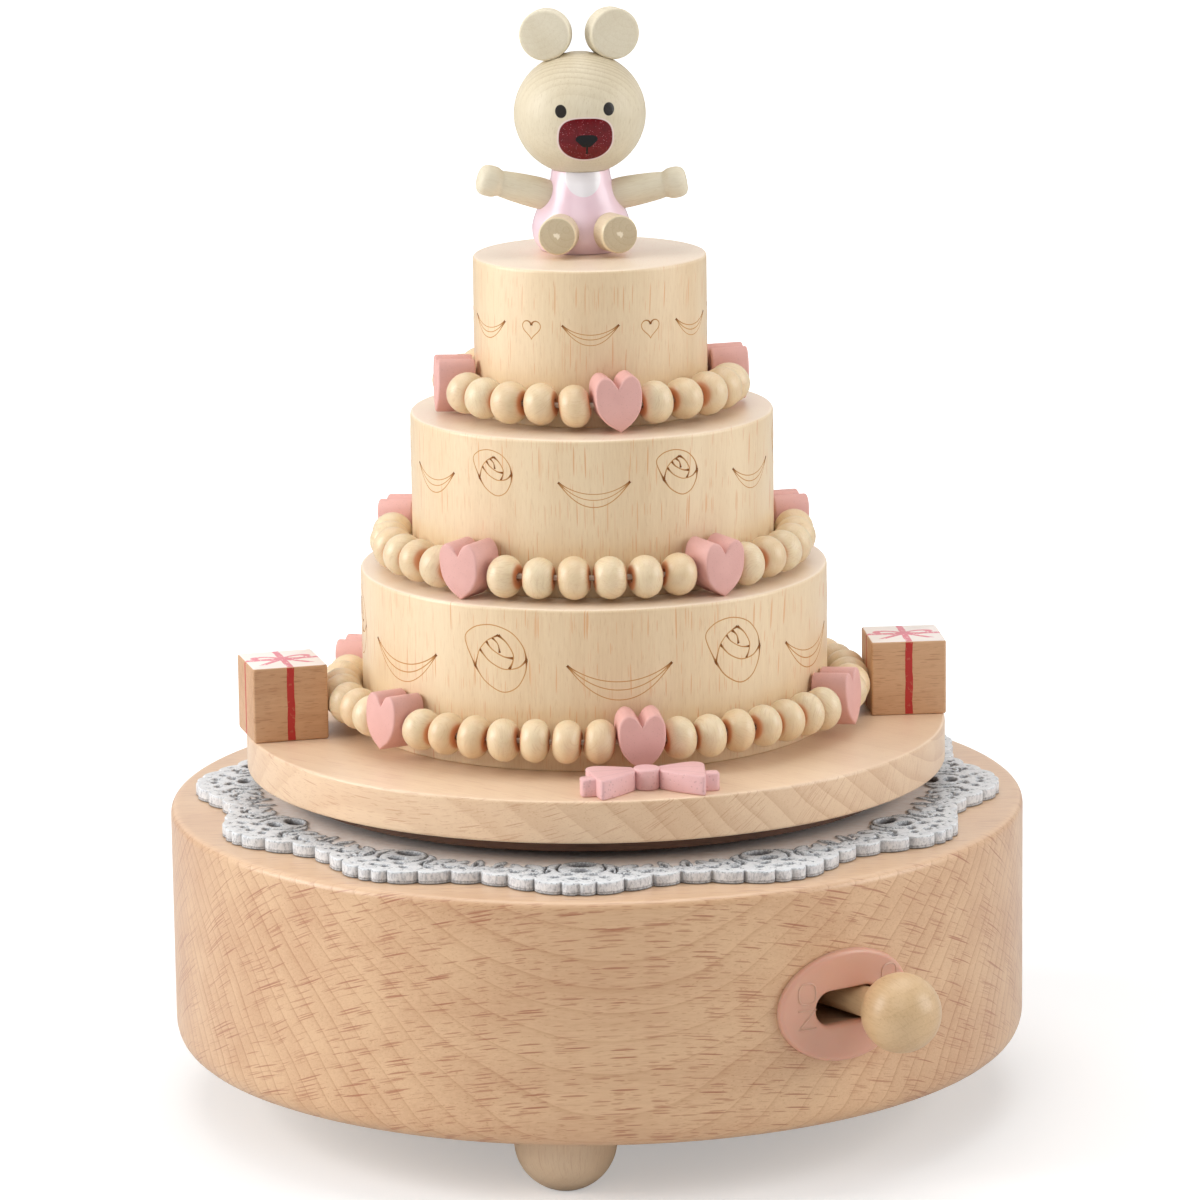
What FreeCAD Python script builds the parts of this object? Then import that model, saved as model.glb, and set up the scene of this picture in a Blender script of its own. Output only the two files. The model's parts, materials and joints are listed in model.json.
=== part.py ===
import FreeCAD, Part

import math
import os

from FreeCAD import Placement, Rotation, Vector

# Wooden music box: a drum with an 18 note movement inside, and a turntable that carries a
# three tier cake, bead strings, hearts, gifts, a bow and a small bear. Sizes are millimetres.
# The drum axis is Z, the floor is z = 0, the front faces -Y and the right is +X. An azimuth is
# the angle from the front towards the right, seen from above.

# Feet and drum
foot_count = 3
foot_dia = 13.0
foot_height = 8.5
foot_flat_dia = 4.4
foot_circle_r = 42.0
foot_azimuth = -6.0
tenon_dia = 5.0
tenon_length = 7.5
foot_steps = 5
turned_sides = 20
drum_dia = 110.0
drum_height = 31.2
drum_bottom_round = 3.4
drum_top_round = 1.2
drum_top_thickness = 6.5

# Bottom cover and its screws
cover_margin = 6.0
cover_thickness = 2.5
cover_screw_offset = 30.0
cover_screw_depth = 6.0

# Movement pocket. The movement lies along its own direction, from the drum axis outwards, and the
# pocket leaves these gaps round its bedplate.
movement_azimuth = 70.0
pocket_back_gap = 4.5
pocket_front_gap = 2.0
pocket_side_gap = 1.5
pocket_corner_r = 6.0

# Lace doily
doily_thickness = 1.6
doily_lobes = 12
doily_tip_azimuth = -2.6
doily_tip_r = 51.3
doily_valley_r = 47.3
scallop_widths = (3.7, 3.6, 3.4, 2.0, 2.0, 3.4, 3.6, 3.7)
scallop_bulge = 0.95
scallop_flat = 0.5

# Turntable
washer_dia = 16.0
washer_thickness = 0.6
under_disc_dia = 80.0
under_disc_thickness = 2.2
turntable_dia = 90.0
turntable_thickness = 5.35
turntable_edge = 0.7
turntable_socket_depth = 3.4

# Cake tiers, from the bottom up
tier_dias = (59.8, 46.3, 29.7)
tier_heights = (20.55, 20.0, 19.9)
tier_edge = 0.7

# Bead strings, one round each tier, from the bottom up
string_heart_counts = (6, 5, 4)
string_beads_between = (7, 6, 5)
string_heart_azimuths = (9.6, -36.5, 10.0)
string_lifts = (1.75, 0.5, 0.7)
bead_dia = 5.4
bead_width = 3.8
bead_end_dia = 3.9
bead_bore = 1.3
bead_sides = 8
string_gap = 0.1
cord_size = 0.7
heart_width = 6.0
heart_height = 7.0
heart_rise = 0.45
heart_depth = 4.8
heart_bore = 1.6
heart_notch = 1.25
heart_belly_share = 0.88
heart_belly_rise = 0.36
heart_side_share = 0.54
heart_side_rise = 0.14
heart_lobe_start = -20.0
heart_lobe_span = 165.0
heart_lobe_steps = 5

# Gifts and bow on the turntable. Each gap is to the bottom bead string.
gift_size = 9.7
gift_edge = 0.3
gift_left_azimuth, gift_left_gap, gift_left_turn = -80.33, 0.43, 15.0
gift_right_azimuth, gift_right_gap, gift_right_turn = 94.87, 0.05, 5.0
bow_azimuth, bow_gap = 9.1, 0.95
bow_turn = 8.4
bow_thickness = 2.6
knot_width = 3.3
knot_depth = 3.6
lobe_reach = 7.5
lobe_front_reach = 6.4
lobe_front = 5.7
lobe_back = 2.75
lobe_waist = 1.3
lobe_swell = 0.25
bow_corner_r = 0.7
tab_reach = 8.6
tab_front = 3.4
tab_back = 1.4

# Bear
bear_x, bear_y = -1.0, 3.0
bear_turn = 5.0
bear_body_dia = 12.6
bear_base_dia = 10.2
bear_belly_height = 2.8
bear_neck_dia = 7.2
bear_body_height = 9.9
bear_dowel_dia = 3.0
bear_dowel_height = 3.5
bear_head_width = 16.8
bear_head_height = 15.6
head_steps = 10
head_sides = 24
ear_dia = 6.5
ear_thickness = 3.0
ear_spread = 4.2
ear_rise = 10.1
ear_turn = 14.0
arm_length = 10.0
arm_shoulder_dia = 3.7
arm_dia = 4.0
wrist_dia = 3.4
hand_dia = 4.0
hand_length = 2.9
arm_root_spread = 3.6
arm_root_height = 7.0
arm_rise = 11.5
arm_forward = 6.0
limb_sides = 12
leg_dia = 5.1
leg_length = 9.0
leg_edge = 0.45
leg_spread = 1.9
leg_turn = 15.0
leg_drop = 2.0

# Lever on the drum wall
lever_azimuth = 33.0
lever_hinge_r = 30.0
lever_height = 15.7
lever_swing = 11.4
lever_arm_thickness = 2.4
lever_arm_width = 3.0
lever_hub_dia = 6.0
stem_inset = 12.0
spigot_dia = 2.0
spigot_length = 6.0
stem_dia = 3.8
knob_dia = 10.0
knob_standoff = 7.5
knob_steps = 9
pivot_dia = 3.0
pivot_collar_dia = 5.0
pivot_head_height = 1.2
back_arm_share = 0.8
plate_width = 19.5
plate_height = 14.0
plate_thickness = 1.0
slot_width = 9.5
slot_height = 4.3
tunnel_width = 11.0
tunnel_height = 5.4

# Movement: plates and arbors
bedplate_thickness = 1.6
bedplate_back = 13.5
bedplate_front_margin = 1.3
bedplate_side = 15.3
bedplate_comb_side = 20.8
bedplate_corner_r = 3.0
near_screw_places = ((-9.0, -11.5), (-9.0, 16.5))
governor_screw_gap, governor_screw_v = 3.8, -12.3
comb_screw_clear, comb_screw_v = 2.1, 16.8
spring_arbor_dia = 4.0
arbor_foot = 2.6
arbor_clip_dia = 6.6
arbor_clip_thickness = 0.8
arbor_clip_sides = 12
bush_dia = 7.0
housing_dia = 20.4
housing_height = 11.1
housing_wall = 0.8
housing_sides = 24
mainspring_turns = 5
mainspring_strip = 0.35
mainspring_width = 6.5
mainspring_sides = 12
mainspring_inner_gap = 0.6
mainspring_outer_gap = 0.3
cylinder_axis_drop = 11.7
cylinder_dia = 13.0
cylinder_end_gap = 0.9
cylinder_length = 18.4
cylinder_arbor_dia = 1.6
pin_size = 0.45
pin_height = 0.7
pin_root = 0.3
pins_per_note = 2
pin_turn_step = 137.5
note_count = 18
comb_thickness = 0.8
comb_tooth_width = 0.7
comb_tooth_long = 8.6
comb_tooth_short = 5.4
comb_base_width = 4.6
comb_margin = 0.5
comb_gap = 0.25
comb_screw_shares = (0.12, 0.5, 0.88)
comb_block_setback = 0.3
bracket_thickness = 1.2
bracket_margin = 1.4
near_bracket_width = 7.2
near_bracket_gap = 0.9
rear_bracket_offset = 3.6
rear_bracket_side = 3.0
rear_bracket_end = 4.0
governor_offset = 3.9
governor_half = 1.3
governor_shelf_half = 1.5
governor_floor = 0.5

# Movement: gears. The great wheel is a crown wheel that drives the cylinder's pinion.
crown_teeth = 36
crown_housing_gap = 0.6
crown_face = 2.0
crown_disc_thickness = 1.4
crown_rim = 0.2
crown_hub_dia = 7.2
crown_hub_rise = 0.9
crown_root_share = 0.27
crown_tip_share = 0.12
crown_addendum = 0.55
crown_dedendum = 0.95
crown_tooth_sink = 0.05
crown_pinion_teeth = 6
crown_pinion_overhang = 0.1
cylinder_wheel_teeth = 30
cylinder_wheel_module = 0.6
cylinder_wheel_width = 1.1
cylinder_wheel_offset = 0.8
second_pinion_teeth = 6
second_pinion_width = 1.4
second_arbor_dia = 1.0
second_arbor_angle = 202.2
worm_wheel_teeth = 12
worm_wheel_width = 1.0
worm_pitch = 1.2
worm_pitch_r = 1.25
worm_addendum = 0.32
worm_core_r = 0.72
worm_turns = 3.5
worm_sides = 14
worm_root_half = 0.30
worm_tip_half = 0.13
worm_sink = 0.12
worm_core_end = 0.6
worm_setback = 1.2
# Tooth forms: half the width at the tip and at the pitch, as shares of the circular pitch, then the
# heights above and below the pitch in modules.
crown_pinion_form = (0.10, 0.17, 0.55, 0.75)
cylinder_wheel_form = (0.12, 0.20, 0.80, 1.00)
second_pinion_form = (0.09, 0.16, 0.60, 0.95)
worm_wheel_form = (0.10, 0.16, 0.80, 1.05)
widest_root_share = 0.46
fly_arbor_dia = 0.9
fly_foot_length = 1.6
fly_head_length = 0.8
fly_hub_wall = 0.7
fly_blade_gap = 1.2
fly_blade_turn = 30.0
fly_blade_r = 3.2
fly_blade_height = 4.0
fly_blade_thickness = 0.5
brake_disc_dia = 5.2
brake_disc_thickness = 1.0
brake_gap = 0.35

# Screws: a low head on a plain shank, eight sided like a turned blank
screw_head_dia = 4.0
screw_head_height = 1.1
screw_shank_dia = 2.2
bedplate_screw_length = 4.5
comb_screw_dia = 1.6
comb_screw_head_dia = 3.0
comb_screw_head_height = 0.9
comb_screw_reach = 3.9
screw_sides = 8

# Clearances
running = 0.05
snug = 0.02
cover_gap = 0.3
seat_gap = 0.3
screw_gap = 0.03
plate_gap = 0.02
end_gap = 0.05
bore_room = 0.2

# Heights worked out from the sizes above
drum_z = foot_height
drum_top = drum_z + drum_height
drum_r = drum_dia / 2
ceiling = drum_top - drum_top_thickness
cover_top = drum_z + cover_thickness
doily_top = drum_top + doily_thickness
washer_top = doily_top + washer_thickness
under_disc_z = washer_top + seat_gap
turntable_z = under_disc_z + under_disc_thickness
turntable_top = turntable_z + turntable_thickness
tier_bases = [turntable_top + sum(tier_heights[:i]) for i in range(len(tier_heights))]
cake_top = tier_bases[-1] + tier_heights[-1]
bed_z = ceiling - bedplate_thickness
cover_dia = 2 * (foot_circle_r + cover_margin)
cylinder_z = ceiling - cylinder_axis_drop
bore_r = spring_arbor_dia / 2 + running

# Places worked out along the movement, from the spring's housing outwards
crown_mesh_r = housing_dia / 2 + crown_housing_gap + 2 * crown_pinion_overhang + crown_face / 2
near_bracket_u = crown_mesh_r + crown_face / 2 + near_bracket_gap
cylinder_start = near_bracket_u + bracket_thickness + cylinder_end_gap
cylinder_end = cylinder_start + cylinder_length
worm_station = cylinder_end - worm_setback
governor_bracket_u = worm_station - governor_offset
cylinder_wheel_u = cylinder_end + cylinder_wheel_offset
rear_bracket_u = cylinder_end + rear_bracket_offset
bedplate_front = rear_bracket_u + bracket_thickness + bedplate_front_margin

# Places worked out along the lever, from its hinge outwards
lever_wall = drum_r - lever_hinge_r
lever_arm_length = lever_wall - stem_inset
knob_reach = lever_wall + knob_standoff


def polar(radius, azimuth, z=0.0):
    """A point at a radius and an azimuth from the front towards the right."""
    angle = math.radians(azimuth)
    return Vector(radius * math.sin(angle), -radius * math.cos(angle), z)


def cylinder(radius, height, base, axis=Vector(0, 0, 1)):
    return Part.makeCylinder(radius, height, base, axis)


def box(x0, x1, y0, y1, z0, z1):
    return Part.makeBox(x1 - x0, y1 - y0, z1 - z0, Vector(x0, y0, z0))


def turned(shape, degrees, centre=Vector(0, 0, 0), axis=Vector(0, 0, 1)):
    """A copy of the shape, turned about an axis through a centre."""
    return moved(shape, Placement(Vector(0, 0, 0), Rotation(axis, degrees), centre))


def moved(shape, placement):
    """A copy of the shape with the placement applied on top of its own."""
    copy = shape.copy()
    copy.Placement = placement.multiply(copy.Placement)
    return copy


def outline(points):
    """A closed face through points. A bare point is a corner, a pair is an arc's middle and end."""
    edges = []
    here = points[0]
    for item in list(points[1:]) + [points[0]]:
        if isinstance(item, tuple):
            edges.append(Part.Arc(here, item[0], item[1]).toShape())
            here = item[1]
        elif (item - here).Length > 1e-7:
            edges.append(Part.LineSegment(here, item).toShape())
            here = item
    return Part.Face(Part.Wire(edges))


def turning(profile):
    """A body turned about Z from a half profile of (radius, height) points."""
    points = [Vector(r, 0, z) for r, z in profile]
    face = Part.Face(Part.makePolygon(points + points[:1]))
    return face.revolve(Vector(0, 0, 0), Vector(0, 0, 1), 360)


def turning_in_flats(profile, sides):
    """The same for a small piece, with flats round it. The profile runs up from the axis and back to it."""
    rings = []
    for r, z in profile:
        if r > 0:
            angles = [2 * math.pi * (k + 0.5) / sides for k in range(sides)]
            rings.append([Vector(r * math.cos(a), r * math.sin(a), z) for a in angles])
    return faceted(rings)


def arc_points(centre_r, centre_z, width, height, start, end, steps):
    """The (radius, height) points of a stretch of an ellipse in the turning plane, ends included."""
    points = []
    for k in range(steps + 1):
        angle = math.radians(start + (end - start) * k / steps)
        points.append((centre_r + width * math.cos(angle), centre_z + height * math.sin(angle)))
    return points


def disc(dia, z, thickness, edge=0.0, foot_edge=0.0, bore=0.0):
    """A turned disc. Its top corner is broken by edge, and its bottom one by foot_edge."""
    r = dia / 2
    profile = [(bore / 2, z), (r - foot_edge, z), (r, z + foot_edge), (r, z + thickness - edge)]
    profile += [(r - edge, z + thickness), (bore / 2, z + thickness)]
    distinct = [p for k, p in enumerate(profile) if k == 0 or p != profile[k - 1]]
    return turning(distinct)


def polygon_prism(dia, sides, z, height, centre=Vector(0, 0, 0)):
    """An upright prism on a regular polygon, flat to flat as wide as dia."""
    r = dia / 2 / math.cos(math.pi / sides)
    ring = [Vector(r * math.cos(2 * math.pi * (k + 0.5) / sides),
                   r * math.sin(2 * math.pi * (k + 0.5) / sides), z) + centre for k in range(sides)]
    return Part.Face(Part.makePolygon(ring + ring[:1])).extrude(Vector(0, 0, height))


def faceted(rings, split=False):
    """A closed solid through rings of as many points each, with a flat face at both ends.

    Split, each face between two rings is two triangles, for rings that twist.
    """
    faces = [Part.Face(Part.makePolygon(ring + ring[:1])) for ring in (rings[0], rings[-1])]
    for low, high in zip(rings, rings[1:]):
        for k in range(len(low)):
            n = (k + 1) % len(low)
            loops = [[low[k], low[n], high[n], high[k]]]
            if split:
                loops = [[low[k], low[n], high[n]], [low[k], high[n], high[k]]]
            faces += [Part.Face(Part.makePolygon(loop + loop[:1])) for loop in loops]
    solid = Part.Solid(Part.Shell(faces))
    return solid if solid.Volume > 0 else solid.reversed()


def bead():
    """One bead along X: an eight sided barrel with a square bore for the cord."""
    stations = ((-bead_width / 2, bead_end_dia), (0.0, bead_dia), (bead_width / 2, bead_end_dia))
    rings = []
    for x, dia in stations:
        angles = [2 * math.pi * (k + 0.5) / bead_sides for k in range(bead_sides)]
        rings.append([Vector(x, dia / 2 * math.cos(a), dia / 2 * math.sin(a)) for a in angles])
    half = bead_bore / 2
    return faceted(rings).cut(box(-bead_width, bead_width, -half, half, -half, half))


def heart():
    """One heart with its face to -Y and a square bore along X for the cord."""
    half = heart_width / 2
    lobe_r = half / 2
    lobe_z = heart_height / 2 - lobe_r
    points = [Vector(0, 0, -heart_height / 2)]
    for share, rise in ((heart_side_share, heart_side_rise), (heart_belly_share, heart_belly_rise)):
        points.append(Vector(share * half, 0, (rise - 0.5) * heart_height))
    for k in range(heart_lobe_steps + 1):
        angle = math.radians(heart_lobe_start + k * heart_lobe_span / heart_lobe_steps)
        points.append(Vector(lobe_r + lobe_r * math.cos(angle), 0, lobe_z + lobe_r * math.sin(angle)))
    points.append(Vector(0, 0, heart_height / 2 - heart_notch))
    points += [Vector(-p.x, 0, p.z) for p in points[-2:0:-1]]
    body = Part.Face(Part.makePolygon(points + points[:1])).extrude(Vector(0, heart_depth, 0))
    body.translate(Vector(0, -heart_depth / 2, heart_rise))
    bore = heart_bore / 2
    return body.cut(box(-heart_width, heart_width, -bore, bore, -bore, bore))


def string_radius(tier):
    """The bead centres run just clear of the tier's side."""
    return tier_dias[tier] / 2 + bead_dia / 2 + string_gap


def string_height(tier):
    return tier_bases[tier] + bead_dia / 2 + string_lifts[tier]


def string_stations(tier):
    """The azimuths of a string's hearts, and of the beads that share the room between them."""
    hearts, beads = [], []
    sector = 360.0 / string_heart_counts[tier]
    heart_share = math.degrees(heart_width / string_radius(tier))
    step = (sector - heart_share) / string_beads_between[tier]
    for k in range(string_heart_counts[tier]):
        start = string_heart_azimuths[tier] + k * sector
        hearts.append(start)
        for n in range(string_beads_between[tier]):
            beads.append(start + heart_share / 2 + (n + 0.5) * step)
    return hearts, beads


def around(piece, tier, azimuths):
    """Copies of a piece that faces the front, set round a tier at the string's height."""
    radius, z = string_radius(tier), string_height(tier)
    copies = []
    for azimuth in azimuths:
        spin = Rotation(Vector(0, 0, 1), azimuth)
        copies.append(moved(piece, Placement(polar(radius, azimuth, z), spin)))
    return Part.makeCompound(copies)


def cord_ring(tier):
    """The elastic cord, whole, straight from one bead or heart to the next."""
    hearts, beads = string_stations(tier)
    z = string_height(tier) - cord_size / 2
    rings = []
    for radius in (string_radius(tier) + cord_size / 2, string_radius(tier) - cord_size / 2):
        ring = [polar(radius, azimuth, z) for azimuth in sorted(hearts + beads)]
        rings.append(Part.Face(Part.makePolygon(ring + ring[:1])))
    return rings[0].cut(rings[1]).extrude(Vector(0, 0, cord_size))


def doily_blank():
    """The lace plywood blank: twelve lobes, each edged by eight scallops."""
    total = sum(scallop_widths)
    lobe = 360.0 / doily_lobes
    cusps, tips = [], []
    for k in range(doily_lobes):
        done = 0.0
        for width in scallop_widths:
            for share, ring, bulge in ((done, cusps, 0.0), (done + width / 2, tips, scallop_bulge)):
                swing = share / total - 0.5
                azimuth = doily_tip_azimuth + (k + swing) * lobe
                rise = (doily_tip_r - doily_valley_r) * math.cos(math.pi * swing) ** 2
                grow = bulge * math.sqrt(width / max(scallop_widths))
                ring.append((doily_valley_r + rise + grow, azimuth, width))
            done += width
    points = []
    for k, (radius, azimuth, width) in enumerate(tips):
        cusp_r, cusp_azimuth, _ = cusps[k]
        next_r, next_azimuth, _ = cusps[(k + 1) % len(cusps)]
        reach = math.degrees(scallop_flat / 2 * width / doily_tip_r)
        slope = scallop_flat / 2 * (next_r - cusp_r)
        points.append(polar(cusp_r, cusp_azimuth, drum_top))
        points.append(polar(radius - slope, azimuth - reach, drum_top))
        points.append(polar(radius + slope, azimuth + reach, drum_top))
    face = Part.Face(Part.makePolygon(points + points[:1]))
    blank = face.extrude(Vector(0, 0, doily_thickness))
    hole = cylinder(bush_dia / 2 + snug, doily_thickness * 3, Vector(0, 0, drum_top - doily_thickness))
    return blank.cut(hole)


# The movement's own frame: u runs along its length, v across it, and z is up.
movement = Placement(Vector(0, 0, 0), Rotation(Vector(0, 0, 1), movement_azimuth - 90))
along = Vector(1, 0, 0)


def in_movement(shape):
    """The shape moved from the movement's frame into the drum's."""
    return moved(shape, movement)


def rounded_slab(u0, u1, v0, v1, z0, z1, corner):
    """A slab with four upright corners rounded."""
    slab = box(u0, u1, v0, v1, z0, z1)
    upright = [e for e in slab.Edges if abs(e.Vertexes[0].Z - e.Vertexes[1].Z) > 1e-6]
    return slab.makeFillet(corner, upright)


def foot_stations():
    return [foot_azimuth + k * 360.0 / foot_count for k in range(foot_count)]


def cover_screw_stations():
    return [azimuth + cover_screw_offset for azimuth in foot_stations()]


def screw(z, head_dia, head_height, shank_dia, length, grow=0.0):
    """A screw that points up, with its head's underside at z. Grown, it is the screw's hole."""
    head = polygon_prism(head_dia + 2 * grow, screw_sides, z - head_height, head_height)
    shank = polygon_prism(shank_dia + 2 * grow, screw_sides, z, length + grow)
    return head.fuse(shank).removeSplitter()


def bedplate_screw_stations():
    places = list(near_screw_places)
    places.append((governor_bracket_u - governor_screw_gap, governor_screw_v))
    places.append((cylinder_end + comb_margin + comb_screw_clear, comb_screw_v))
    return [Vector(u, v, 0) for u, v in places]


def comb_screw_stations():
    comb_v = comb_root() + comb_base_width / 2
    return [Vector(cylinder_start + share * cylinder_length, comb_v, 0) for share in comb_screw_shares]


def comb_root():
    """How far from the cylinder's axis the comb's teeth are rooted in its base."""
    return cylinder_dia / 2 + pin_height + comb_gap + comb_tooth_long


# The lever's own frame: its hinge is the origin and x points out through the middle of the slot.
lever_z = drum_z + lever_height
lever_frame = Placement(polar(lever_hinge_r, lever_azimuth),
                        Rotation(Vector(0, 0, 1), lever_azimuth - 90))


def in_lever(shape, at_rest=True):
    """The shape moved from the lever's frame, turned to its off position or left in mid swing."""
    swung = turned(shape, lever_swing / 2) if at_rest else shape
    return moved(swung, lever_frame)


def lever_tunnel():
    """The passage through the drum's wall that the lever's stem swings in."""
    half, rise = tunnel_width / 2, tunnel_height / 2
    return in_lever(box(0, drum_r, -half, half, lever_z - rise, lever_z + rise), False)


def foot(azimuth):
    """One turned foot: a ball flattened at the floor, with a tenon that holds it in the drum."""
    r = foot_dia / 2
    flat = foot_flat_dia / 2
    centre = math.sqrt(r * r - flat * flat)
    low = -90.0 + math.degrees(math.asin(flat / r))
    profile = arc_points(0, centre, r, r, low, 0.0, foot_steps)
    profile += [(r, foot_height), (tenon_dia / 2, foot_height), (tenon_dia / 2, foot_height + tenon_length)]
    shape = turning_in_flats(profile, turned_sides)
    shape.translate(polar(foot_circle_r, azimuth))
    return shape


def base_drum():
    """The solid wood drum with its rounded rims, pocket, recess and passages."""
    low, high = drum_bottom_round, drum_top_round
    profile = [(0, drum_z)] + arc_points(drum_r - low, drum_z + low, low, low, -90.0, 0.0, 3)
    profile += arc_points(drum_r - high, drum_top - high, high, high, 0.0, 90.0, 2) + [(0, drum_top)]
    drum = turning(profile)
    drum = drum.cut(cylinder(cover_dia / 2 + cover_gap, cover_thickness, Vector(0, 0, drum_z)))
    side = bedplate_comb_side + pocket_side_gap
    pocket = rounded_slab(-bedplate_back - pocket_back_gap, bedplate_front + pocket_front_gap, -side, side,
                          drum_z, ceiling, pocket_corner_r)
    cuts = [in_movement(pocket), lever_tunnel()]
    cuts.append(cylinder(bush_dia / 2 + snug, drum_top_thickness, Vector(0, 0, ceiling)))
    for azimuth in foot_stations():
        cuts.append(polygon_prism(tenon_dia + 2 * snug, turned_sides, drum_z, tenon_length + snug,
                                  polar(foot_circle_r, azimuth)))
    for azimuth in cover_screw_stations():
        hole = polygon_prism(screw_shank_dia + 2 * screw_gap, screw_sides, cover_top,
                             cover_screw_depth, polar(foot_circle_r, azimuth))
        cuts.append(hole)
    for station in bedplate_screw_stations():
        hole = polygon_prism(screw_shank_dia + 2 * screw_gap, screw_sides, ceiling,
                             bedplate_screw_length - bedplate_thickness + screw_gap, station)
        cuts.append(in_movement(hole))
    for tool in cuts:
        drum = drum.cut(tool)
    return drum


def bottom_cover():
    """The plywood disc that closes the pocket, held by the feet's tenons and three screws."""
    cover = cylinder(cover_dia / 2, cover_thickness, Vector(0, 0, drum_z))
    for azimuth in foot_stations():
        cover = cover.cut(polygon_prism(tenon_dia + 2 * running, turned_sides, drum_z, cover_thickness,
                                        polar(foot_circle_r, azimuth)))
    for azimuth in cover_screw_stations():
        hole = cover_screw(azimuth, screw_gap)
        cover = cover.cut(hole)
    return cover


def cover_screw(azimuth, grow=0.0):
    """A cover screw with its head let into the cover, flush with its underside."""
    length = cover_thickness - screw_head_height + cover_screw_depth - 2 * screw_gap
    shape = screw(drum_z + screw_head_height, screw_head_dia, screw_head_height, screw_shank_dia,
                  length, grow)
    shape.translate(polar(foot_circle_r, azimuth))
    return shape


def arbor_bush():
    """The brass bush that carries the turntable's arbor through the drum's top and the doily."""
    bush = cylinder(bush_dia / 2, doily_top - ceiling, Vector(0, 0, ceiling))
    return bush.cut(cylinder(bore_r, doily_top - drum_z, Vector(0, 0, drum_z)))


def thrust_washer():
    """The nylon washer on the doily that the turntable can bear on."""
    washer = polygon_prism(washer_dia, housing_sides, doily_top, washer_thickness)
    return washer.cut(cylinder(bore_r, 3 * washer_thickness, Vector(0, 0, doily_top - washer_thickness)))


def spring_arbor():
    """The steel arbor: the great wheel sits on its foot, and the turntable on its head."""
    top = turntable_z + turntable_socket_depth
    bottom = crown_bottom() - arbor_foot
    arbor = cylinder(spring_arbor_dia / 2, top - bottom, Vector(0, 0, bottom))
    clip = polygon_prism(arbor_clip_dia, arbor_clip_sides, crown_bottom() - arbor_clip_thickness,
                         arbor_clip_thickness)
    return arbor.fuse(clip).removeSplitter()


def turntable_disc():
    """The upper turntable disc, with a blind socket for the arbor."""
    shape = disc(turntable_dia, turntable_z, turntable_thickness, turntable_edge, turntable_edge)
    socket = cylinder(spring_arbor_dia / 2 + snug, turntable_socket_depth + snug, Vector(0, 0, turntable_z))
    return shape.cut(socket)


def crown_bottom():
    """The underside of the great wheel's disc, from the height at which it meets its pinion."""
    return crown_root_z() - crown_disc_thickness


def crown_module():
    return 2 * crown_mesh_r / crown_teeth


def crown_pinion_r():
    return crown_module() * crown_pinion_teeth / 2


def crown_pitch_z():
    return cylinder_z - crown_pinion_r()


def crown_root_z():
    return crown_pitch_z() - crown_dedendum * crown_module()


def great_wheel():
    """The crown wheel: a disc on the arbor with radial teeth that stand up from its rim."""
    outer = crown_mesh_r + crown_face / 2
    inner = crown_mesh_r - crown_face / 2
    wheel = cylinder(outer + crown_rim, crown_disc_thickness, Vector(0, 0, crown_bottom()))
    hub = cylinder(crown_hub_dia / 2, crown_disc_thickness + crown_hub_rise, Vector(0, 0, crown_bottom()))
    wheel = wheel.fuse(hub).removeSplitter()
    root_half = crown_root_share * math.pi * crown_module()
    tip_half = crown_tip_share * math.pi * crown_module()
    root_z = crown_root_z() - crown_tooth_sink
    tip_z = crown_pitch_z() + crown_addendum * crown_module()
    teeth = []
    for k in range(crown_teeth):
        ends = []
        for u in (inner, outer):
            ends.append([Vector(u, -root_half, root_z), Vector(u, root_half, root_z),
                         Vector(u, tip_half, tip_z), Vector(u, -tip_half, tip_z)])
        teeth.append(turned(faceted(ends), k * 360.0 / crown_teeth))
    wheel = wheel.fuse(teeth).removeSplitter()
    bore = cylinder(spring_arbor_dia / 2 + snug, 2 * crown_disc_thickness + crown_hub_rise,
                    Vector(0, 0, crown_bottom() - crown_disc_thickness / 2))
    return wheel.cut(bore)


def toothed_wheel(teeth, module, width, bore, start_angle, form):
    """A spur gear along X, with straight flanked teeth of one of the tooth forms."""
    tip, pitch, addendum, dedendum = form
    pitch_r = module * teeth / 2
    tip_r = pitch_r + addendum * module
    root_r = pitch_r - dedendum * module
    step = 360.0 / teeth
    flank = (tip - pitch) / addendum
    root_share = min(pitch - flank * dedendum, widest_root_share)
    ring = []
    for k in range(teeth):
        middle = start_angle + k * step
        for radius, swing in ((root_r, -root_share), (tip_r, -tip), (tip_r, tip), (root_r, root_share)):
            half = math.radians(swing * step) * pitch_r / radius
            angle = math.radians(middle) + half
            ring.append(Vector(0, radius * math.cos(angle), radius * math.sin(angle)))
    gear = Part.Face(Part.makePolygon(ring + ring[:1])).extrude(Vector(width, 0, 0))
    return gear.cut(cylinder(bore / 2, width, Vector(0, 0, 0), along))


def on_cylinder_axis(shape, u):
    shape.translate(Vector(u, 0, cylinder_z))
    return in_movement(shape)


def pinned_cylinder():
    """The brass cylinder with rows of pins, one row for each note."""
    shape = cylinder(cylinder_dia / 2, cylinder_length, Vector(0, 0, 0), along)
    pitch = cylinder_length / note_count
    half = pin_size / 2
    low, high = cylinder_dia / 2 - pin_root, cylinder_dia / 2 + pin_height
    pins = []
    for note in range(note_count):
        u = (note + 0.5) * pitch
        for k in range(pins_per_note):
            pin = box(u - half, u + half, -half, half, low, high)
            turn = (note * pins_per_note + k) * pin_turn_step + k * 360.0 / pins_per_note
            pins.append(turned(pin, turn, axis=along))
    shape = shape.fuse(pins)
    bore = cylinder(cylinder_arbor_dia / 2 + snug, cylinder_length, Vector(0, 0, 0), along)
    return on_cylinder_axis(shape.cut(bore), cylinder_start)


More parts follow.
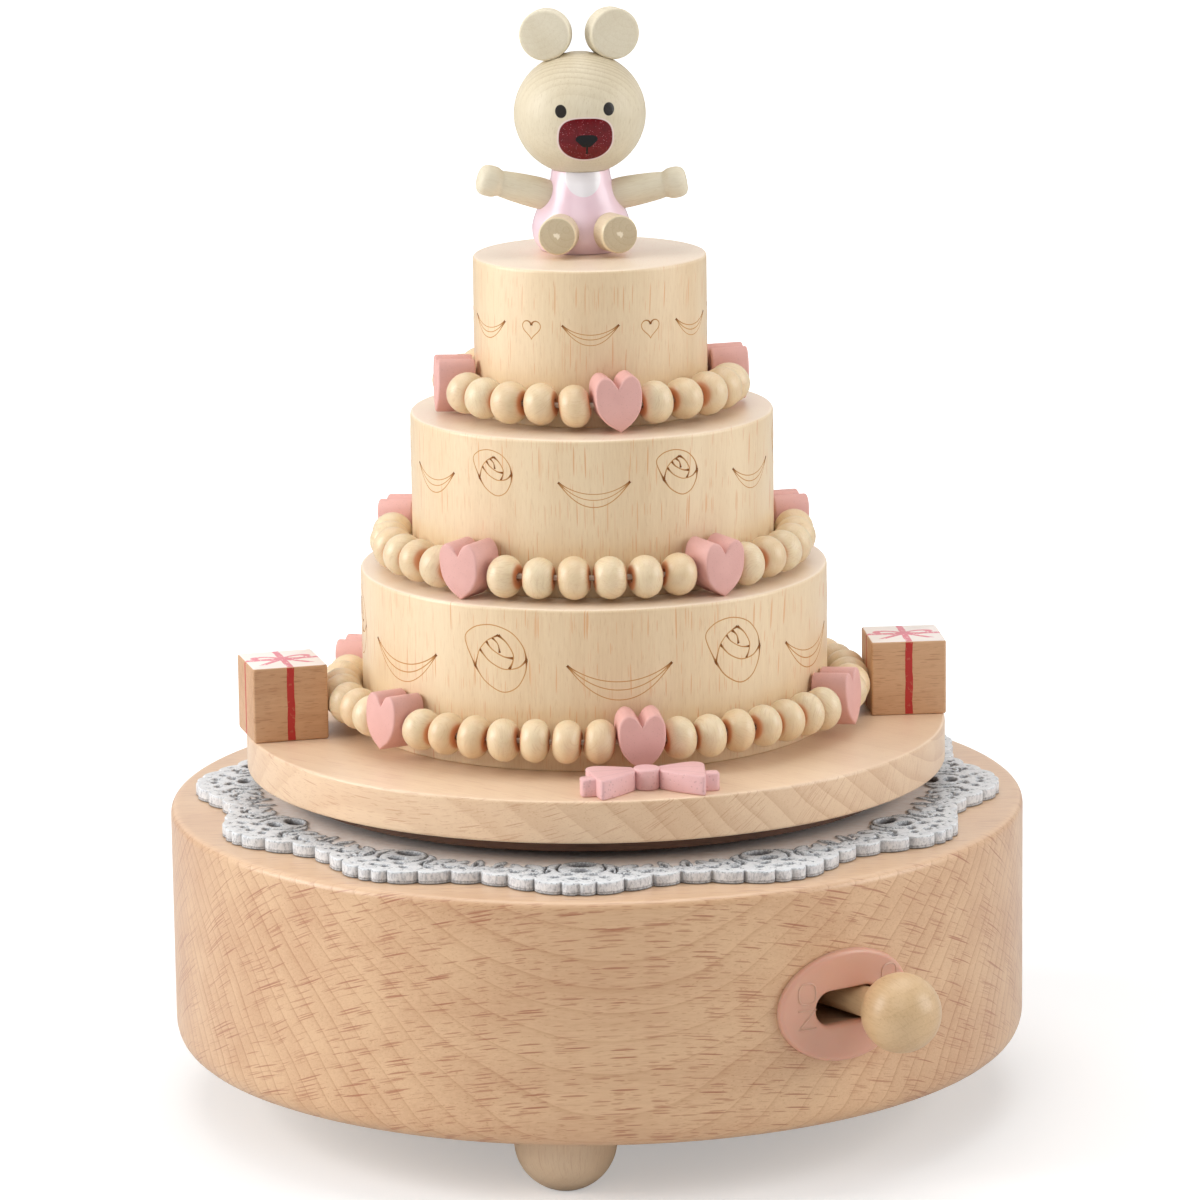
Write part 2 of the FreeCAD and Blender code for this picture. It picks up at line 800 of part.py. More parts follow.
def second_axis():
    """Where the second arbor's axis crosses the v, z plane: in mesh beside the cylinder's wheel."""
    distance = cylinder_wheel_module * (cylinder_wheel_teeth + second_pinion_teeth) / 2
    angle = math.radians(second_arbor_angle)
    return distance * math.cos(angle), cylinder_z + distance * math.sin(angle)


def worm_wheel_r():
    return worm_pitch * worm_wheel_teeth / (2 * math.pi)


def fly_axis():
    """Where the fly's upright arbor stands, in the movement's frame."""
    v, _ = second_axis()
    return Vector(worm_station, v - worm_wheel_r() - worm_pitch_r, 0)


def crown_pinion_u():
    return crown_mesh_r - crown_face / 2 - crown_pinion_overhang


def cylinder_arbor():
    """The arbor that the pinion, the pinned cylinder and its wheel are all fixed to."""
    start = crown_pinion_u() - crown_pinion_overhang
    end = rear_bracket_u + bracket_thickness
    shape = cylinder(cylinder_arbor_dia / 2, end - start, Vector(0, 0, 0), along)
    return on_cylinder_axis(shape, start)


def crown_pinion():
    """The pinion that the great wheel drives, with a gap between leaves at the bottom at rest."""
    start_angle = -90.0 + 180.0 / crown_pinion_teeth
    width = crown_face + 2 * crown_pinion_overhang
    bore = cylinder_arbor_dia + 2 * snug
    shape = toothed_wheel(crown_pinion_teeth, crown_module(), width, bore, start_angle, crown_pinion_form)
    return on_cylinder_axis(shape, crown_pinion_u())


def cylinder_wheel():
    """The wheel on the cylinder's far end, which drives the second arbor."""
    shape = toothed_wheel(cylinder_wheel_teeth, cylinder_wheel_module, cylinder_wheel_width,
                          cylinder_arbor_dia + 2 * snug, second_arbor_angle, cylinder_wheel_form)
    return on_cylinder_axis(shape, cylinder_wheel_u)


def on_second_axis(shape, u):
    v, z = second_axis()
    shape.translate(Vector(u, v, z))
    return in_movement(shape)


def second_arbor():
    """The arbor between the cylinder's wheel and the worm, with a pinion and the worm wheel on it."""
    start = governor_bracket_u
    end = rear_bracket_u + bracket_thickness
    shape = cylinder(second_arbor_dia / 2, end - start, Vector(0, 0, 0), along)
    return on_second_axis(shape, start)


def second_pinion():
    """The six leaved pinion on the second arbor, with a gap towards the cylinder's wheel."""
    start_angle = second_arbor_angle + 180.0 + 180.0 / second_pinion_teeth
    shape = toothed_wheel(second_pinion_teeth, cylinder_wheel_module, second_pinion_width,
                          second_arbor_dia + 2 * snug, start_angle, second_pinion_form)
    return on_second_axis(shape, cylinder_wheel_u - (second_pinion_width - cylinder_wheel_width) / 2)


def worm_wheel():
    """The wheel on the second arbor that the worm meets, with a tooth towards the worm."""
    module = worm_pitch / math.pi
    shape = toothed_wheel(worm_wheel_teeth, module, worm_wheel_width, second_arbor_dia + 2 * snug, 180.0,
                          worm_wheel_form)
    return on_second_axis(shape, worm_station - worm_wheel_width / 2)


def fly_bottom():
    """The lower end of the fly's arbor, in the foot of its bracket."""
    _, z = second_axis()
    return z - worm_turns * worm_pitch / 2 - fly_foot_length


def worm_arbor():
    """The fly's arbor with its worm: one right handed thread, cut in short flats round a thin core."""
    _, z = second_axis()
    length = worm_turns * worm_pitch
    tip_r = worm_pitch_r + worm_addendum
    root_r = worm_core_r - worm_sink
    steps = round(worm_turns * worm_sides)
    rings = []
    for k in range(steps + 1):
        turns = k / worm_sides
        angle = 2 * math.pi * turns + math.radians(worm_phase())
        middle = z - length / 2 + turns * worm_pitch
        ring = []
        for radius, rise in ((root_r, -worm_root_half), (tip_r, -worm_tip_half),
                             (tip_r, worm_tip_half), (root_r, worm_root_half)):
            ring.append(Vector(radius * math.cos(angle), radius * math.sin(angle), middle + rise))
        rings.append(ring)
    thread = faceted(rings, True)
    core = polygon_prism(2 * worm_core_r, worm_sides, z - length / 2 - worm_core_end,
                         length + 2 * worm_core_end)
    bottom = fly_bottom()
    arbor = cylinder(fly_arbor_dia / 2, bed_z + fly_head_length - bottom, Vector(0, 0, bottom))
    shape = arbor.fuse(core).fuse(thread)
    shape.translate(fly_axis())
    return in_movement(shape)


def worm_phase():
    """The azimuth at which the thread starts, so that a gap of it faces the worm wheel's axis at rest."""
    return 90.0 - 360.0 * (worm_turns / 2 - 0.5)


def fly_low():
    return lever_z + brake_disc_thickness / 2 + fly_blade_gap


def fly_fan():
    """The air brake: a disc that the lever's tip can hold, and two blades above it."""
    hub_r = fly_arbor_dia / 2 + fly_hub_wall
    low = lever_z - brake_disc_thickness / 2
    fan = cylinder(brake_disc_dia / 2, brake_disc_thickness, Vector(0, 0, low))
    fan = fan.fuse(cylinder(hub_r, fly_low() + fly_blade_height - low, Vector(0, 0, low)))
    half = fly_blade_thickness / 2
    blade = box(-fly_blade_r, fly_blade_r, -half, half, fly_low(), fly_low() + fly_blade_height)
    fan = fan.fuse(turned(blade, fly_blade_turn)).removeSplitter()
    fan = fan.cut(cylinder(fly_arbor_dia / 2 + snug, fly_low() + fly_blade_height - low, Vector(0, 0, low)))
    fan.translate(fly_axis())
    return in_movement(fan)


def near_bracket():
    """The plate between the pinion and the cylinder that carries the cylinder's near end."""
    half = near_bracket_width / 2
    u = near_bracket_u
    low = cylinder_z - cylinder_arbor_dia / 2 - bracket_margin
    plate = box(u, u + bracket_thickness, -half, half, low, bed_z)
    bore = cylinder(cylinder_arbor_dia / 2 + running, bracket_thickness, Vector(u, 0, cylinder_z), along)
    return in_movement(plate.cut(bore))


def rear_bracket():
    """The plate past the cylinder's wheel that carries the cylinder's and the second arbor's ends."""
    v, z = second_axis()
    u = rear_bracket_u
    low = min(z, cylinder_z) - bracket_margin - second_arbor_dia / 2
    plate = box(u, u + bracket_thickness, v - rear_bracket_side, rear_bracket_end, low, bed_z)
    for dia, centre in ((cylinder_arbor_dia, Vector(u, 0, cylinder_z)), (second_arbor_dia, Vector(u, v, z))):
        plate = plate.cut(cylinder(dia / 2 + running, bracket_thickness, centre, along))
    return in_movement(plate)


def governor_bracket():
    """The bent strip that carries the second arbor's near end and the foot of the fly's arbor."""
    v, z = second_axis()
    u = governor_bracket_u
    low = fly_bottom() - governor_floor
    arm = box(u, u + bracket_thickness, v - governor_half, v + governor_half, low, bed_z)
    arm = arm.cut(cylinder(second_arbor_dia / 2 + running, bracket_thickness, Vector(u, v, z), along))
    fly = fly_axis()
    shelf = box(u, fly.x + governor_shelf_half, fly.y - governor_shelf_half, v + governor_half,
                low, low + bracket_thickness)
    mouth = Vector(fly.x, fly.y, fly_bottom() - end_gap)
    socket = cylinder(fly_arbor_dia / 2 + running, bracket_thickness, mouth)
    return in_movement(arm.fuse(shelf).removeSplitter().cut(socket))


def bedplate():
    """The plate screwed under the drum's top that all of the movement hangs from."""
    plate = rounded_slab(-bedplate_back, bedplate_front, -bedplate_side, bedplate_comb_side, bed_z, ceiling,
                         bedplate_corner_r)
    plate = plate.cut(cylinder(bore_r, bedplate_thickness, Vector(0, 0, bed_z)))
    for station in bedplate_screw_stations():
        plate = plate.cut(polygon_prism(screw_shank_dia + 2 * screw_gap, screw_sides, bed_z,
                                        bedplate_thickness, station))
    fly = fly_axis()
    socket = cylinder(fly_arbor_dia / 2 + running, fly_head_length + end_gap, Vector(fly.x, fly.y, bed_z))
    plate = plate.cut(socket)
    return in_movement(plate)


def movement_screws():
    """The four screws that hold the bedplate up against the drum's top."""
    screws = []
    for station in bedplate_screw_stations():
        shape = screw(bed_z, screw_head_dia, screw_head_height, screw_shank_dia, bedplate_screw_length)
        shape.translate(station)
        screws.append(in_movement(shape))
    return Part.makeCompound(screws)


def spring_housing():
    """The cup that holds the mainspring, open towards the bedplate that it is fixed to."""
    low = bed_z - housing_height
    cup = polygon_prism(housing_dia, housing_sides, low, housing_height)
    floor = low + housing_wall
    inside = polygon_prism(housing_dia - 2 * housing_wall, housing_sides, floor, housing_height)
    hole = cylinder(bore_r + seat_gap, housing_wall, Vector(0, 0, low))
    return cup.cut(inside).cut(hole)


def mainspring():
    """The flat spring strip, wound in an even spiral of straight lengths."""
    inner = spring_arbor_dia / 2 + mainspring_inner_gap
    outer = housing_dia / 2 - housing_wall - mainspring_outer_gap
    steps = mainspring_turns * mainspring_sides
    low = bed_z - housing_height / 2 - mainspring_width / 2
    sides = []
    for offset in (-mainspring_strip / 2, mainspring_strip / 2):
        line = []
        for k in range(steps + 1):
            radius = inner + (outer - inner) * k / steps + offset
            line.append(polar(radius, k * 360.0 / mainspring_sides, low))
        sides.append(line)
    ring = sides[0] + sides[1][::-1]
    return Part.Face(Part.makePolygon(ring + ring[:1])).extrude(Vector(0, 0, mainspring_width))


def comb_low():
    return cylinder_z - comb_thickness / 2


def music_comb():
    """The steel comb: eighteen teeth in one plate, the lowest note's tooth the longest."""
    pitch = cylinder_length / note_count
    root = comb_root()
    tip = root - comb_tooth_long
    points = [Vector(cylinder_start - comb_margin, root + comb_base_width, comb_low()),
              Vector(cylinder_start - comb_margin, root - comb_tooth_long + comb_tooth_short, comb_low())]
    for note in range(note_count):
        middle = cylinder_start + (note + 0.5) * pitch
        share = note / (note_count - 1)
        slot = tip + comb_tooth_short + (comb_tooth_long - comb_tooth_short) * share
        before, after = middle - comb_tooth_width / 2, middle + comb_tooth_width / 2
        points += [Vector(before, slot, comb_low()), Vector(before, tip, comb_low())]
        points += [Vector(after, tip, comb_low()), Vector(after, slot, comb_low())]
    end = cylinder_end + comb_margin
    points += [Vector(end, root, comb_low()), Vector(end, root + comb_base_width, comb_low())]
    comb = Part.Face(Part.makePolygon(points + points[:1])).extrude(Vector(0, 0, comb_thickness))
    for station in comb_screw_stations():
        comb = comb.cut(polygon_prism(comb_screw_dia + 2 * screw_gap, screw_sides, comb_low(),
                                      comb_thickness, station))
    return in_movement(comb)


def comb_block():
    """The block between the bedplate and the comb that the comb is screwed to."""
    root = comb_root()
    top_of_comb = comb_low() + comb_thickness
    block = box(cylinder_start - comb_margin, cylinder_end + comb_margin,
                root + comb_block_setback, root + comb_base_width, top_of_comb, bed_z)
    for station in comb_screw_stations():
        block = block.cut(polygon_prism(comb_screw_dia + 2 * screw_gap, screw_sides, top_of_comb,
                                        comb_screw_reach + end_gap, station))
    return in_movement(block)


def comb_screws():
    """The three screws that hold the comb up against its block."""
    screws = []
    for station in comb_screw_stations():
        shape = screw(comb_low(), comb_screw_head_dia, comb_screw_head_height, comb_screw_dia,
                      comb_thickness + comb_screw_reach)
        shape.translate(station)
        screws.append(in_movement(shape))
    return Part.makeCompound(screws)


def lever_pivot():
    """The shouldered screw that the lever swings on, under the pocket's ceiling."""
    half = lever_arm_thickness / 2
    head_top = lever_z - half - seat_gap
    collar = lever_z + half + seat_gap
    r, collar_r = pivot_dia / 2, pivot_collar_dia / 2
    foot_z = head_top - pivot_head_height
    profile = [(0, foot_z), (collar_r, foot_z), (collar_r, head_top), (r, head_top), (r, collar)]
    profile += [(collar_r, collar), (collar_r, ceiling), (0, ceiling)]
    return in_lever(turning(profile), False)


def brake_direction():
    """The way from the hinge to the fly's axis, in the lever's frame at rest, and its length."""
    place = lever_frame.inverse().multVec(movement.multVec(fly_axis()))
    return math.degrees(math.atan2(place.y, place.x)), math.hypot(place.x, place.y)


def lever_arm():
    """The bell crank: an arm out to the knob's stem, and a shorter one back to the fly's disc."""
    half_t, half_w = lever_arm_thickness / 2, lever_arm_width / 2
    low, high = lever_z - half_t, lever_z + half_t
    hub = cylinder(lever_hub_dia / 2, lever_arm_thickness, Vector(0, 0, low))
    arm = box(0, lever_arm_length, -half_w, half_w, low, high)
    spigot = cylinder(spigot_dia / 2, spigot_length, Vector(lever_arm_length, 0, lever_z), along)
    angle, distance = brake_direction()
    tip = distance - brake_disc_dia / 2 - brake_gap
    back_half = back_arm_share * half_w
    back = turned(box(0, tip, -back_half, back_half, low, high), angle - lever_swing / 2)
    shape = hub.fuse([arm, back, spigot]).removeSplitter()
    shape = shape.cut(cylinder(pivot_dia / 2 + running, lever_arm_thickness, Vector(0, 0, low)))
    return in_lever(shape)


def lever_knob():
    """The turned wooden knob: a ball on a stem, bored for the arm's spigot."""
    r, stem_r = knob_dia / 2, stem_dia / 2
    start = lever_arm_length + snug
    join = math.degrees(math.asin(stem_r / r)) - 90.0
    profile = [(stem_r, start)] + arc_points(0, knob_reach, r, r, join, 80.0, knob_steps)
    shape = turning_in_flats(profile, turned_sides)
    shape = shape.cut(cylinder(spigot_dia / 2 + snug, spigot_length + bore_room, Vector(0, 0, start)))
    shape = turned(shape, 90.0, axis=Vector(0, 1, 0))
    shape.translate(Vector(0, 0, lever_z))
    return in_lever(shape)


def oval_prism(width, height, x0, x1):
    """An oval prism along the lever's x axis, centred on the lever's height."""
    ellipse = Part.Ellipse(Vector(x0, 0, 0), width / 2, height / 2)
    ellipse.Axis = along
    ellipse.XAxis = Vector(0, 1, 0)
    face = Part.Face(Part.Wire(ellipse.toShape()))
    face.translate(Vector(0, 0, lever_z))
    return face.extrude(Vector(x1 - x0, 0, 0))


def lever_plate():
    """The oval plate, curved to the drum, with the slot that the stem slides in."""
    inner = drum_r + plate_gap
    outer = inner + plate_thickness
    shell = cylinder(outer, plate_height * 2, Vector(0, 0, lever_z - plate_height))
    shell = shell.cut(cylinder(inner, plate_height * 2, Vector(0, 0, lever_z - plate_height)))
    start, end = lever_arm_length, drum_r
    plate = shell.common(in_lever(oval_prism(plate_width, plate_height, start, end), False))
    half = slot_width / 2 - slot_height / 2
    slot = box(start, end, -half, half, lever_z - slot_height / 2, lever_z + slot_height / 2)
    for side in (-half, half):
        slot = slot.fuse(cylinder(slot_height / 2, end - start, Vector(start, side, lever_z), along))
    return plate.cut(in_lever(slot, False))


def string_reach():
    """How far the flats of the bottom string's beads stand out from the axis."""
    return string_radius(0) + bead_dia / 2 * math.cos(math.pi / bead_sides)


def gift(azimuth, gap, turn):
    """A gift cube with its edges broken, standing just outside the bottom string."""
    half = gift_size / 2
    cube = box(-half, half, -half, half, 0, gift_size)
    cube = cube.makeChamfer(gift_edge, cube.Edges)
    cube = turned(cube, turn)
    cube.translate(polar(string_reach() + half + gap, azimuth, turntable_top))
    return cube


def ribbon_bow():
    """The bow, cut from one thick board: a round knot, two flared lobes and two short tabs."""
    c = bow_corner_r
    slant = (lobe_reach - lobe_front_reach) / (lobe_front + lobe_back)

    def on_end(y):
        """The point of a lobe's slanted end at this depth."""
        return Vector(lobe_front_reach + slant * (y + lobe_front), y, 0)

    def swollen(start, end, side):
        """The middle of a lobe's long edge, bowed outwards a little."""
        return (start + end) * 0.5 + Vector(0, side * lobe_swell, 0)

    front_waist, back_waist = Vector(knot_width / 2, -lobe_waist, 0), Vector(knot_width / 2, lobe_waist, 0)
    front_end = Vector(lobe_front_reach - 1.2 * c, -lobe_front, 0)
    back_end = Vector(lobe_reach - 1.3 * c, lobe_back, 0)
    half = [front_waist,
            (swollen(front_waist, front_end, -1), front_end),
            (Vector(lobe_front_reach - 0.3 * c, -lobe_front + 0.3 * c, 0), on_end(-lobe_front + 1.1 * c)),
            on_end(-tab_front),
            Vector(tab_reach - c / 2, -tab_front, 0),
            Vector(tab_reach, -tab_front + c / 2, 0),
            Vector(tab_reach, -tab_back - c / 2, 0),
            Vector(tab_reach - c / 2, -tab_back, 0),
            on_end(-tab_back),
            on_end(lobe_back - c),
            (Vector(lobe_reach - 0.4 * c, lobe_back - 0.25 * c, 0), back_end),
            (swollen(back_waist, back_end, 1), back_waist),
            Vector(0, lobe_waist, 0), Vector(0, -lobe_waist, 0)]
    lobe = outline(half).extrude(Vector(0, 0, bow_thickness))
    other = lobe.mirror(Vector(0, 0, 0), Vector(1, 0, 0))
    knot = outline([Vector(-knot_width / 2, -0.3 * knot_depth, 0),
                    (Vector(0, -knot_depth / 2, 0), Vector(knot_width / 2, -0.3 * knot_depth, 0)),
                    Vector(knot_width / 2, 0.3 * knot_depth, 0),
                    (Vector(0, knot_depth / 2, 0), Vector(-knot_width / 2, 0.3 * knot_depth, 0))])
    knot = knot.extrude(Vector(0, 0, bow_thickness))
    shape = lobe.fuse([other, knot]).removeSplitter()
    shape = turned(shape, bow_turn)
    shape.translate(polar(string_reach() + lobe_back + bow_gap, bow_azimuth, turntable_top))
    return shape


# The bear's own frame: it stands on the top tier, facing the front.
bear_frame = Placement(Vector(bear_x, bear_y, cake_top), Rotation(Vector(0, 0, 1), bear_turn))


def bear_body():
    """The turned body: a bottle shape with a dowel that the head sits on."""
    belly, base, neck = bear_body_dia / 2, bear_base_dia / 2, bear_neck_dia / 2
    low, top = bear_belly_height, bear_body_height
    profile = [(base, 0), (0.4 * base + 0.6 * belly, 0.25 * low), (0.08 * base + 0.92 * belly, 0.6 * low)]
    profile.append((belly, low))
    for share, slim in ((0.2, 0.1), (0.42, 0.38), (0.66, 0.72), (0.86, 0.93), (1.0, 1.0)):
        profile.append((belly + (neck - belly) * slim, low + (top - low) * share))
    profile += [(bear_dowel_dia / 2, top), (bear_dowel_dia / 2, top + bear_dowel_height)]
    return moved(turning_in_flats(profile, turned_sides), bear_frame)


def head_form():
    """The head's round form, a little wider than tall, before it is bored and seated."""
    width, height = bear_head_width / 2, bear_head_height / 2
    return turning_in_flats(arc_points(0, 0, width, height, -80.0, 80.0, head_steps), head_sides)


def head_place():
    """The head's centre: its flat seat lies on the neck."""
    return bear_body_height + bear_head_height / 2 - 0.25


def bear_head():
    head = head_form()
    head.translate(Vector(0, 0, head_place()))
    wide = bear_head_width
    head = head.cut(box(-wide, wide, -wide, wide, -wide, bear_body_height))
    bore = polygon_prism(bear_dowel_dia + 2 * snug, turned_sides, bear_body_height,
                         bear_dowel_height + bore_room)
    return moved(head.cut(bore), bear_frame)


def bear_ear(side):
    """An ear: a disc let into the head by a seat of the head's own form."""
    ear = polygon_prism(ear_dia, turned_sides, -ear_thickness / 2, ear_thickness)
    ear = turned(ear, 90.0, axis=Vector(1, 0, 0))
    ear = turned(ear, side * ear_turn)
    ear.translate(Vector(side * ear_spread, 0, head_place() + ear_rise))
    seat = head_form()
    seat.translate(Vector(0, 0, head_place()))
    return moved(ear.cut(seat), bear_frame)


def bear_arm(side):
    """An arm turned from one peg: shoulder, wrist and hand."""
    shoulder, arm, wrist, hand = (d / 2 for d in (arm_shoulder_dia, arm_dia, wrist_dia, hand_dia))
    neck = arm_length - hand_length
    profile = [(shoulder, 0), (arm, 0.12 * arm_length), (arm, 0.35 * arm_length), (wrist, neck - 0.1)]
    profile += [(wrist, neck + 0.1), (hand, neck + 0.7), (hand, arm_length - 0.9), (0.6 * hand, arm_length)]
    shape = turned(turning_in_flats(profile, limb_sides), side * (90.0 - arm_rise), axis=Vector(0, 1, 0))
    shape = turned(shape, -side * arm_forward)
    shape.translate(Vector(side * arm_root_spread, -0.5, arm_root_height))
    return moved(shape, bear_frame).cut(bear_body())


def bear_leg(side):
    """A leg: a short peg with a broken edge that points forward, seated on the body."""
    r = leg_dia / 2
    profile = [(r, 0), (r, leg_length - leg_edge), (r - leg_edge, leg_length)]
    shape = turned(turning_in_flats(profile, turned_sides), 90.0 + leg_drop, axis=Vector(1, 0, 0))
    shape = turned(shape, side * leg_turn)
    rise = leg_length * math.sin(math.radians(leg_drop))
    shape.translate(Vector(side * leg_spread, 0, r + rise + 0.1))
    return moved(shape, bear_frame).cut(bear_body())


def build():
    """Every node by name."""
    arbor_hole = spring_arbor_dia + 2 * snug
    nodes = {
        "base_drum": base_drum(),
        "bottom_cover": bottom_cover(),
        "cover_screws": Part.makeCompound([cover_screw(a) for a in cover_screw_stations()]),
        "lace_doily": doily_blank(),
        "arbor_bush": arbor_bush(),
        "thrust_washer": thrust_washer(),
        "bedplate": bedplate(),
        "movement_screws": movement_screws(),
        "spring_housing": spring_housing(),
        "mainspring": mainspring(),
        "near_bracket": near_bracket(),
        "rear_bracket": rear_bracket(),
        "governor_bracket": governor_bracket(),
        "comb_block": comb_block(),
        "music_comb": music_comb(),
        "comb_screws": comb_screws(),
        "lever_pivot": lever_pivot(),
        "lever_plate": lever_plate(),
        "spring_arbor": spring_arbor(),
        "great_wheel": great_wheel(),
        "under_disc": disc(under_disc_dia, under_disc_z, under_disc_thickness, bore=arbor_hole),
        "turntable_disc": turntable_disc(),
        "pinned_cylinder": pinned_cylinder(),
        "cylinder_arbor": cylinder_arbor(),
        "cylinder_pinion": crown_pinion(),
        "cylinder_wheel": cylinder_wheel(),
        "second_arbor": second_arbor(),
        "second_pinion": second_pinion(),
        "worm_wheel": worm_wheel(),
        "worm_arbor": worm_arbor(),
        "fly_fan": fly_fan(),
        "lever_arm": lever_arm(),
        "lever_knob": lever_knob(),
        "gift_left": gift(gift_left_azimuth, gift_left_gap, gift_left_turn),
        "gift_right": gift(gift_right_azimuth, gift_right_gap, gift_right_turn),
        "ribbon_bow": ribbon_bow(),
        "bear_body": bear_body(),
        "bear_head": bear_head(),
    }
    for k, azimuth in enumerate(foot_stations()):
        nodes[f"foot_{k + 1}"] = foot(azimuth)
    for side, word in ((-1, "left"), (1, "right")):
        nodes[f"bear_ear_{word}"] = bear_ear(side)
        nodes[f"bear_arm_{word}"] = bear_arm(side)
        nodes[f"bear_leg_{word}"] = bear_leg(side)
    one_bead, one_heart = bead(), heart()
    for tier, word in enumerate(("bottom", "middle", "top")):
        hearts, beads = string_stations(tier)
        nodes[f"cake_tier_{word}"] = disc(tier_dias[tier], tier_bases[tier], tier_heights[tier], tier_edge)
        nodes[f"beads_{word}"] = around(one_bead, tier, beads)
        nodes[f"hearts_{word}"] = around(one_heart, tier, hearts)
        nodes[f"cord_{word}"] = cord_ring(tier)
    return nodes


os.makedirs("parts", exist_ok=True)
for name, shape in build().items():
    if not shape.isValid():
        print("not valid:", name)
    shape.exportStep(f"parts/{name}.step")
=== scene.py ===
import json
import math

import bpy
import numpy as np
from mathutils import Matrix, Vector


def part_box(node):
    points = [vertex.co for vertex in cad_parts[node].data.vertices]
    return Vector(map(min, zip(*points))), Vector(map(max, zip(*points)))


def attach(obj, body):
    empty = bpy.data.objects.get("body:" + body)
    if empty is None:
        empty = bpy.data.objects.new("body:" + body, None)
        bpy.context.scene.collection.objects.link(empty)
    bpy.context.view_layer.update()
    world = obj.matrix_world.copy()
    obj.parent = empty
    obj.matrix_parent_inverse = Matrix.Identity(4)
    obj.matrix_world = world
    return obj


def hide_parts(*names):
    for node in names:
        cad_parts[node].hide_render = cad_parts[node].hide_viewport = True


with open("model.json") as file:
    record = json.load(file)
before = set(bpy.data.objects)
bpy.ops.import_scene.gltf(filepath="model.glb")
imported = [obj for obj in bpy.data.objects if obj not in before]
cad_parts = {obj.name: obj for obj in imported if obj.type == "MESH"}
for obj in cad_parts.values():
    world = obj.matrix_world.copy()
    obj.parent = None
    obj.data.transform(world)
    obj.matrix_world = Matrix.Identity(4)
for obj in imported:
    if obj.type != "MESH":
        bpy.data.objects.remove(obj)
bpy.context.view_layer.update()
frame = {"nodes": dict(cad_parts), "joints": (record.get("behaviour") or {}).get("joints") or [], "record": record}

# The wooden music box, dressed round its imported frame. Shapes are worked out in millimetres and
# put into the scene in metres. The front faces -Y, and an azimuth is the angle from the front
# towards the right, seen from above.
MM = 0.001
ROUND = 192
SMALL_ROUND = 48

# Strings of beads, from the bottom up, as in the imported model
STRING_TIERS = ("bottom", "middle", "top")
HEART_COUNTS = (6, 5, 4)
BEADS_BETWEEN = (7, 6, 5)
HEART_AZIMUTHS = (9.6, -36.5, 10.0)
STRING_GAP = 0.1
BEAD_DIA = 5.4
BEAD_WIDTH = 4.3
BEAD_HOLE_DIA = 1.1
CORD_DIA = 0.7
BEAD_CLEARANCE = 0.05
HEART_WIDTH = 6.0
HEART_DEPTH = 4.8

# Doily
DOILY_LOBES = 12
DOILY_TIP_AZIMUTH = -2.6
DOILY_TIP_R = 51.5
DOILY_VALLEY_R = 47.3
SCALLOP_WIDTHS = (3.7, 3.6, 3.4, 2.0, 2.0, 3.4, 3.6, 3.7)
SCALLOP_BULGE = 0.95
DOILY_BAND_R = 41.0
SCALLOP_POINTS = 18
LEATHER_DROP = 0.18
CARVING_DEPTH = 0.62
CENTRE_RADII = (20.0, 34.0, 39.0)
CARVED_RINGS = 60
DOILY_MARKS = ("carved", "rubbed", "centre")

# The bear's paint: places across and up from the middle of its head, and its bib from its seat
MUZZLE = (0.05, -2.35)
MUZZLE_HALVES = (3.4, 2.7)
NOSE = (0.15, -2.55)
NOSE_HALVES = (1.4, 0.8)
EYES = ((-3.05, 1.25), (3.0, 1.42))
EYE_HALVES = (0.70, 0.83)
BIB_HEIGHT = 9.6
BIB_RADIUS = 2.25

# Drum, feet, lever and bear
BORE_GAP = 0.05
THIN_EDGE = 0.01
CUT_PAST = 1.0
DRUM_BOTTOM_ROUND = 3.4
DRUM_TOP_ROUND = 1.2
RECESS_GAP = 0.3
RECESS_ROUND = 0.3
MOVEMENT_AZIMUTH = 70.0
POCKET_GAP = 1.9
POCKET_CORNER = 6.0
BEDPLATE_AZIMUTH = MOVEMENT_AZIMUTH - 90
FOOT_FLAT_R = 2.2
FOOT_SHOULDER = 0.3
TENON_R = 2.5
LEVER_AZIMUTH = 33.0
TUNNEL_WIDTH = 11.0
TUNNEL_HEIGHT = 5.4
PLATE_WIDTH = 19.5
PLATE_HEIGHT = 14.0
PLATE_THICKNESS = 1.0
SLOT_WIDTH = 9.5
SLOT_HEIGHT = 4.3
PLATE_LIP = 0.35
PLATE_RIM = 0.55
LETTER_R = 0.15
STEM_DIA = 3.8
STEM_START = 13.0
STEM_END = 26.0
KNOB_REACH = 32.5
BEAR_TURN = 5.0
NECK_RISE = 0.45
NECK_SHARE = 0.585
HEAD_HALF_HEIGHT = 7.8
EAR_RADIUS = 3.25
EAR_HALF = 1.5
EAR_SPREAD = 4.2
EAR_RISE = 10.1
EAR_TURN = 14.0
ARM_PLACE = (3.6, -0.5, 6.95)
ARM_TURN = 6.0
ARM_RISES = {"left": 16.0, "right": 10.5}
LEG_SPREAD = 1.9
LEG_RADIUS = 2.42
LEG_LENGTH = 9.0
LEG_LIFT = 2.3
LEG_TURNS = {"left": -12.5, "right": 14.5}
GIFT_SIZE = 9.7
GIFT_TURNS = {"gift_left": 15.0, "gift_right": 5.0}
BOW_PLACE = (6.15, -38.4)
BOW_TURN = 8.4

rng = np.random.default_rng(11)


# Small helpers

def span(node):
    """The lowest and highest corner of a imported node, in millimetres."""
    low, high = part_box(node)
    return np.array(low) / MM, np.array(high) / MM


def middle(node):
    low, high = span(node)
    return (low + high) / 2


def half_width(node):
    low, high = span(node)
    return (high[0] - low[0]) / 2


def joint_place(name):
    """A joint's own row, and where its axis is in millimetres."""
    row = next(joint for joint in frame["joints"] if joint["name"] == name)
    return row, np.array(row["pos_m"]) / MM


def polar(radius, azimuth, z=0.0):
    angle = math.radians(azimuth)
    return np.array([radius * math.sin(angle), -radius * math.cos(angle), z])


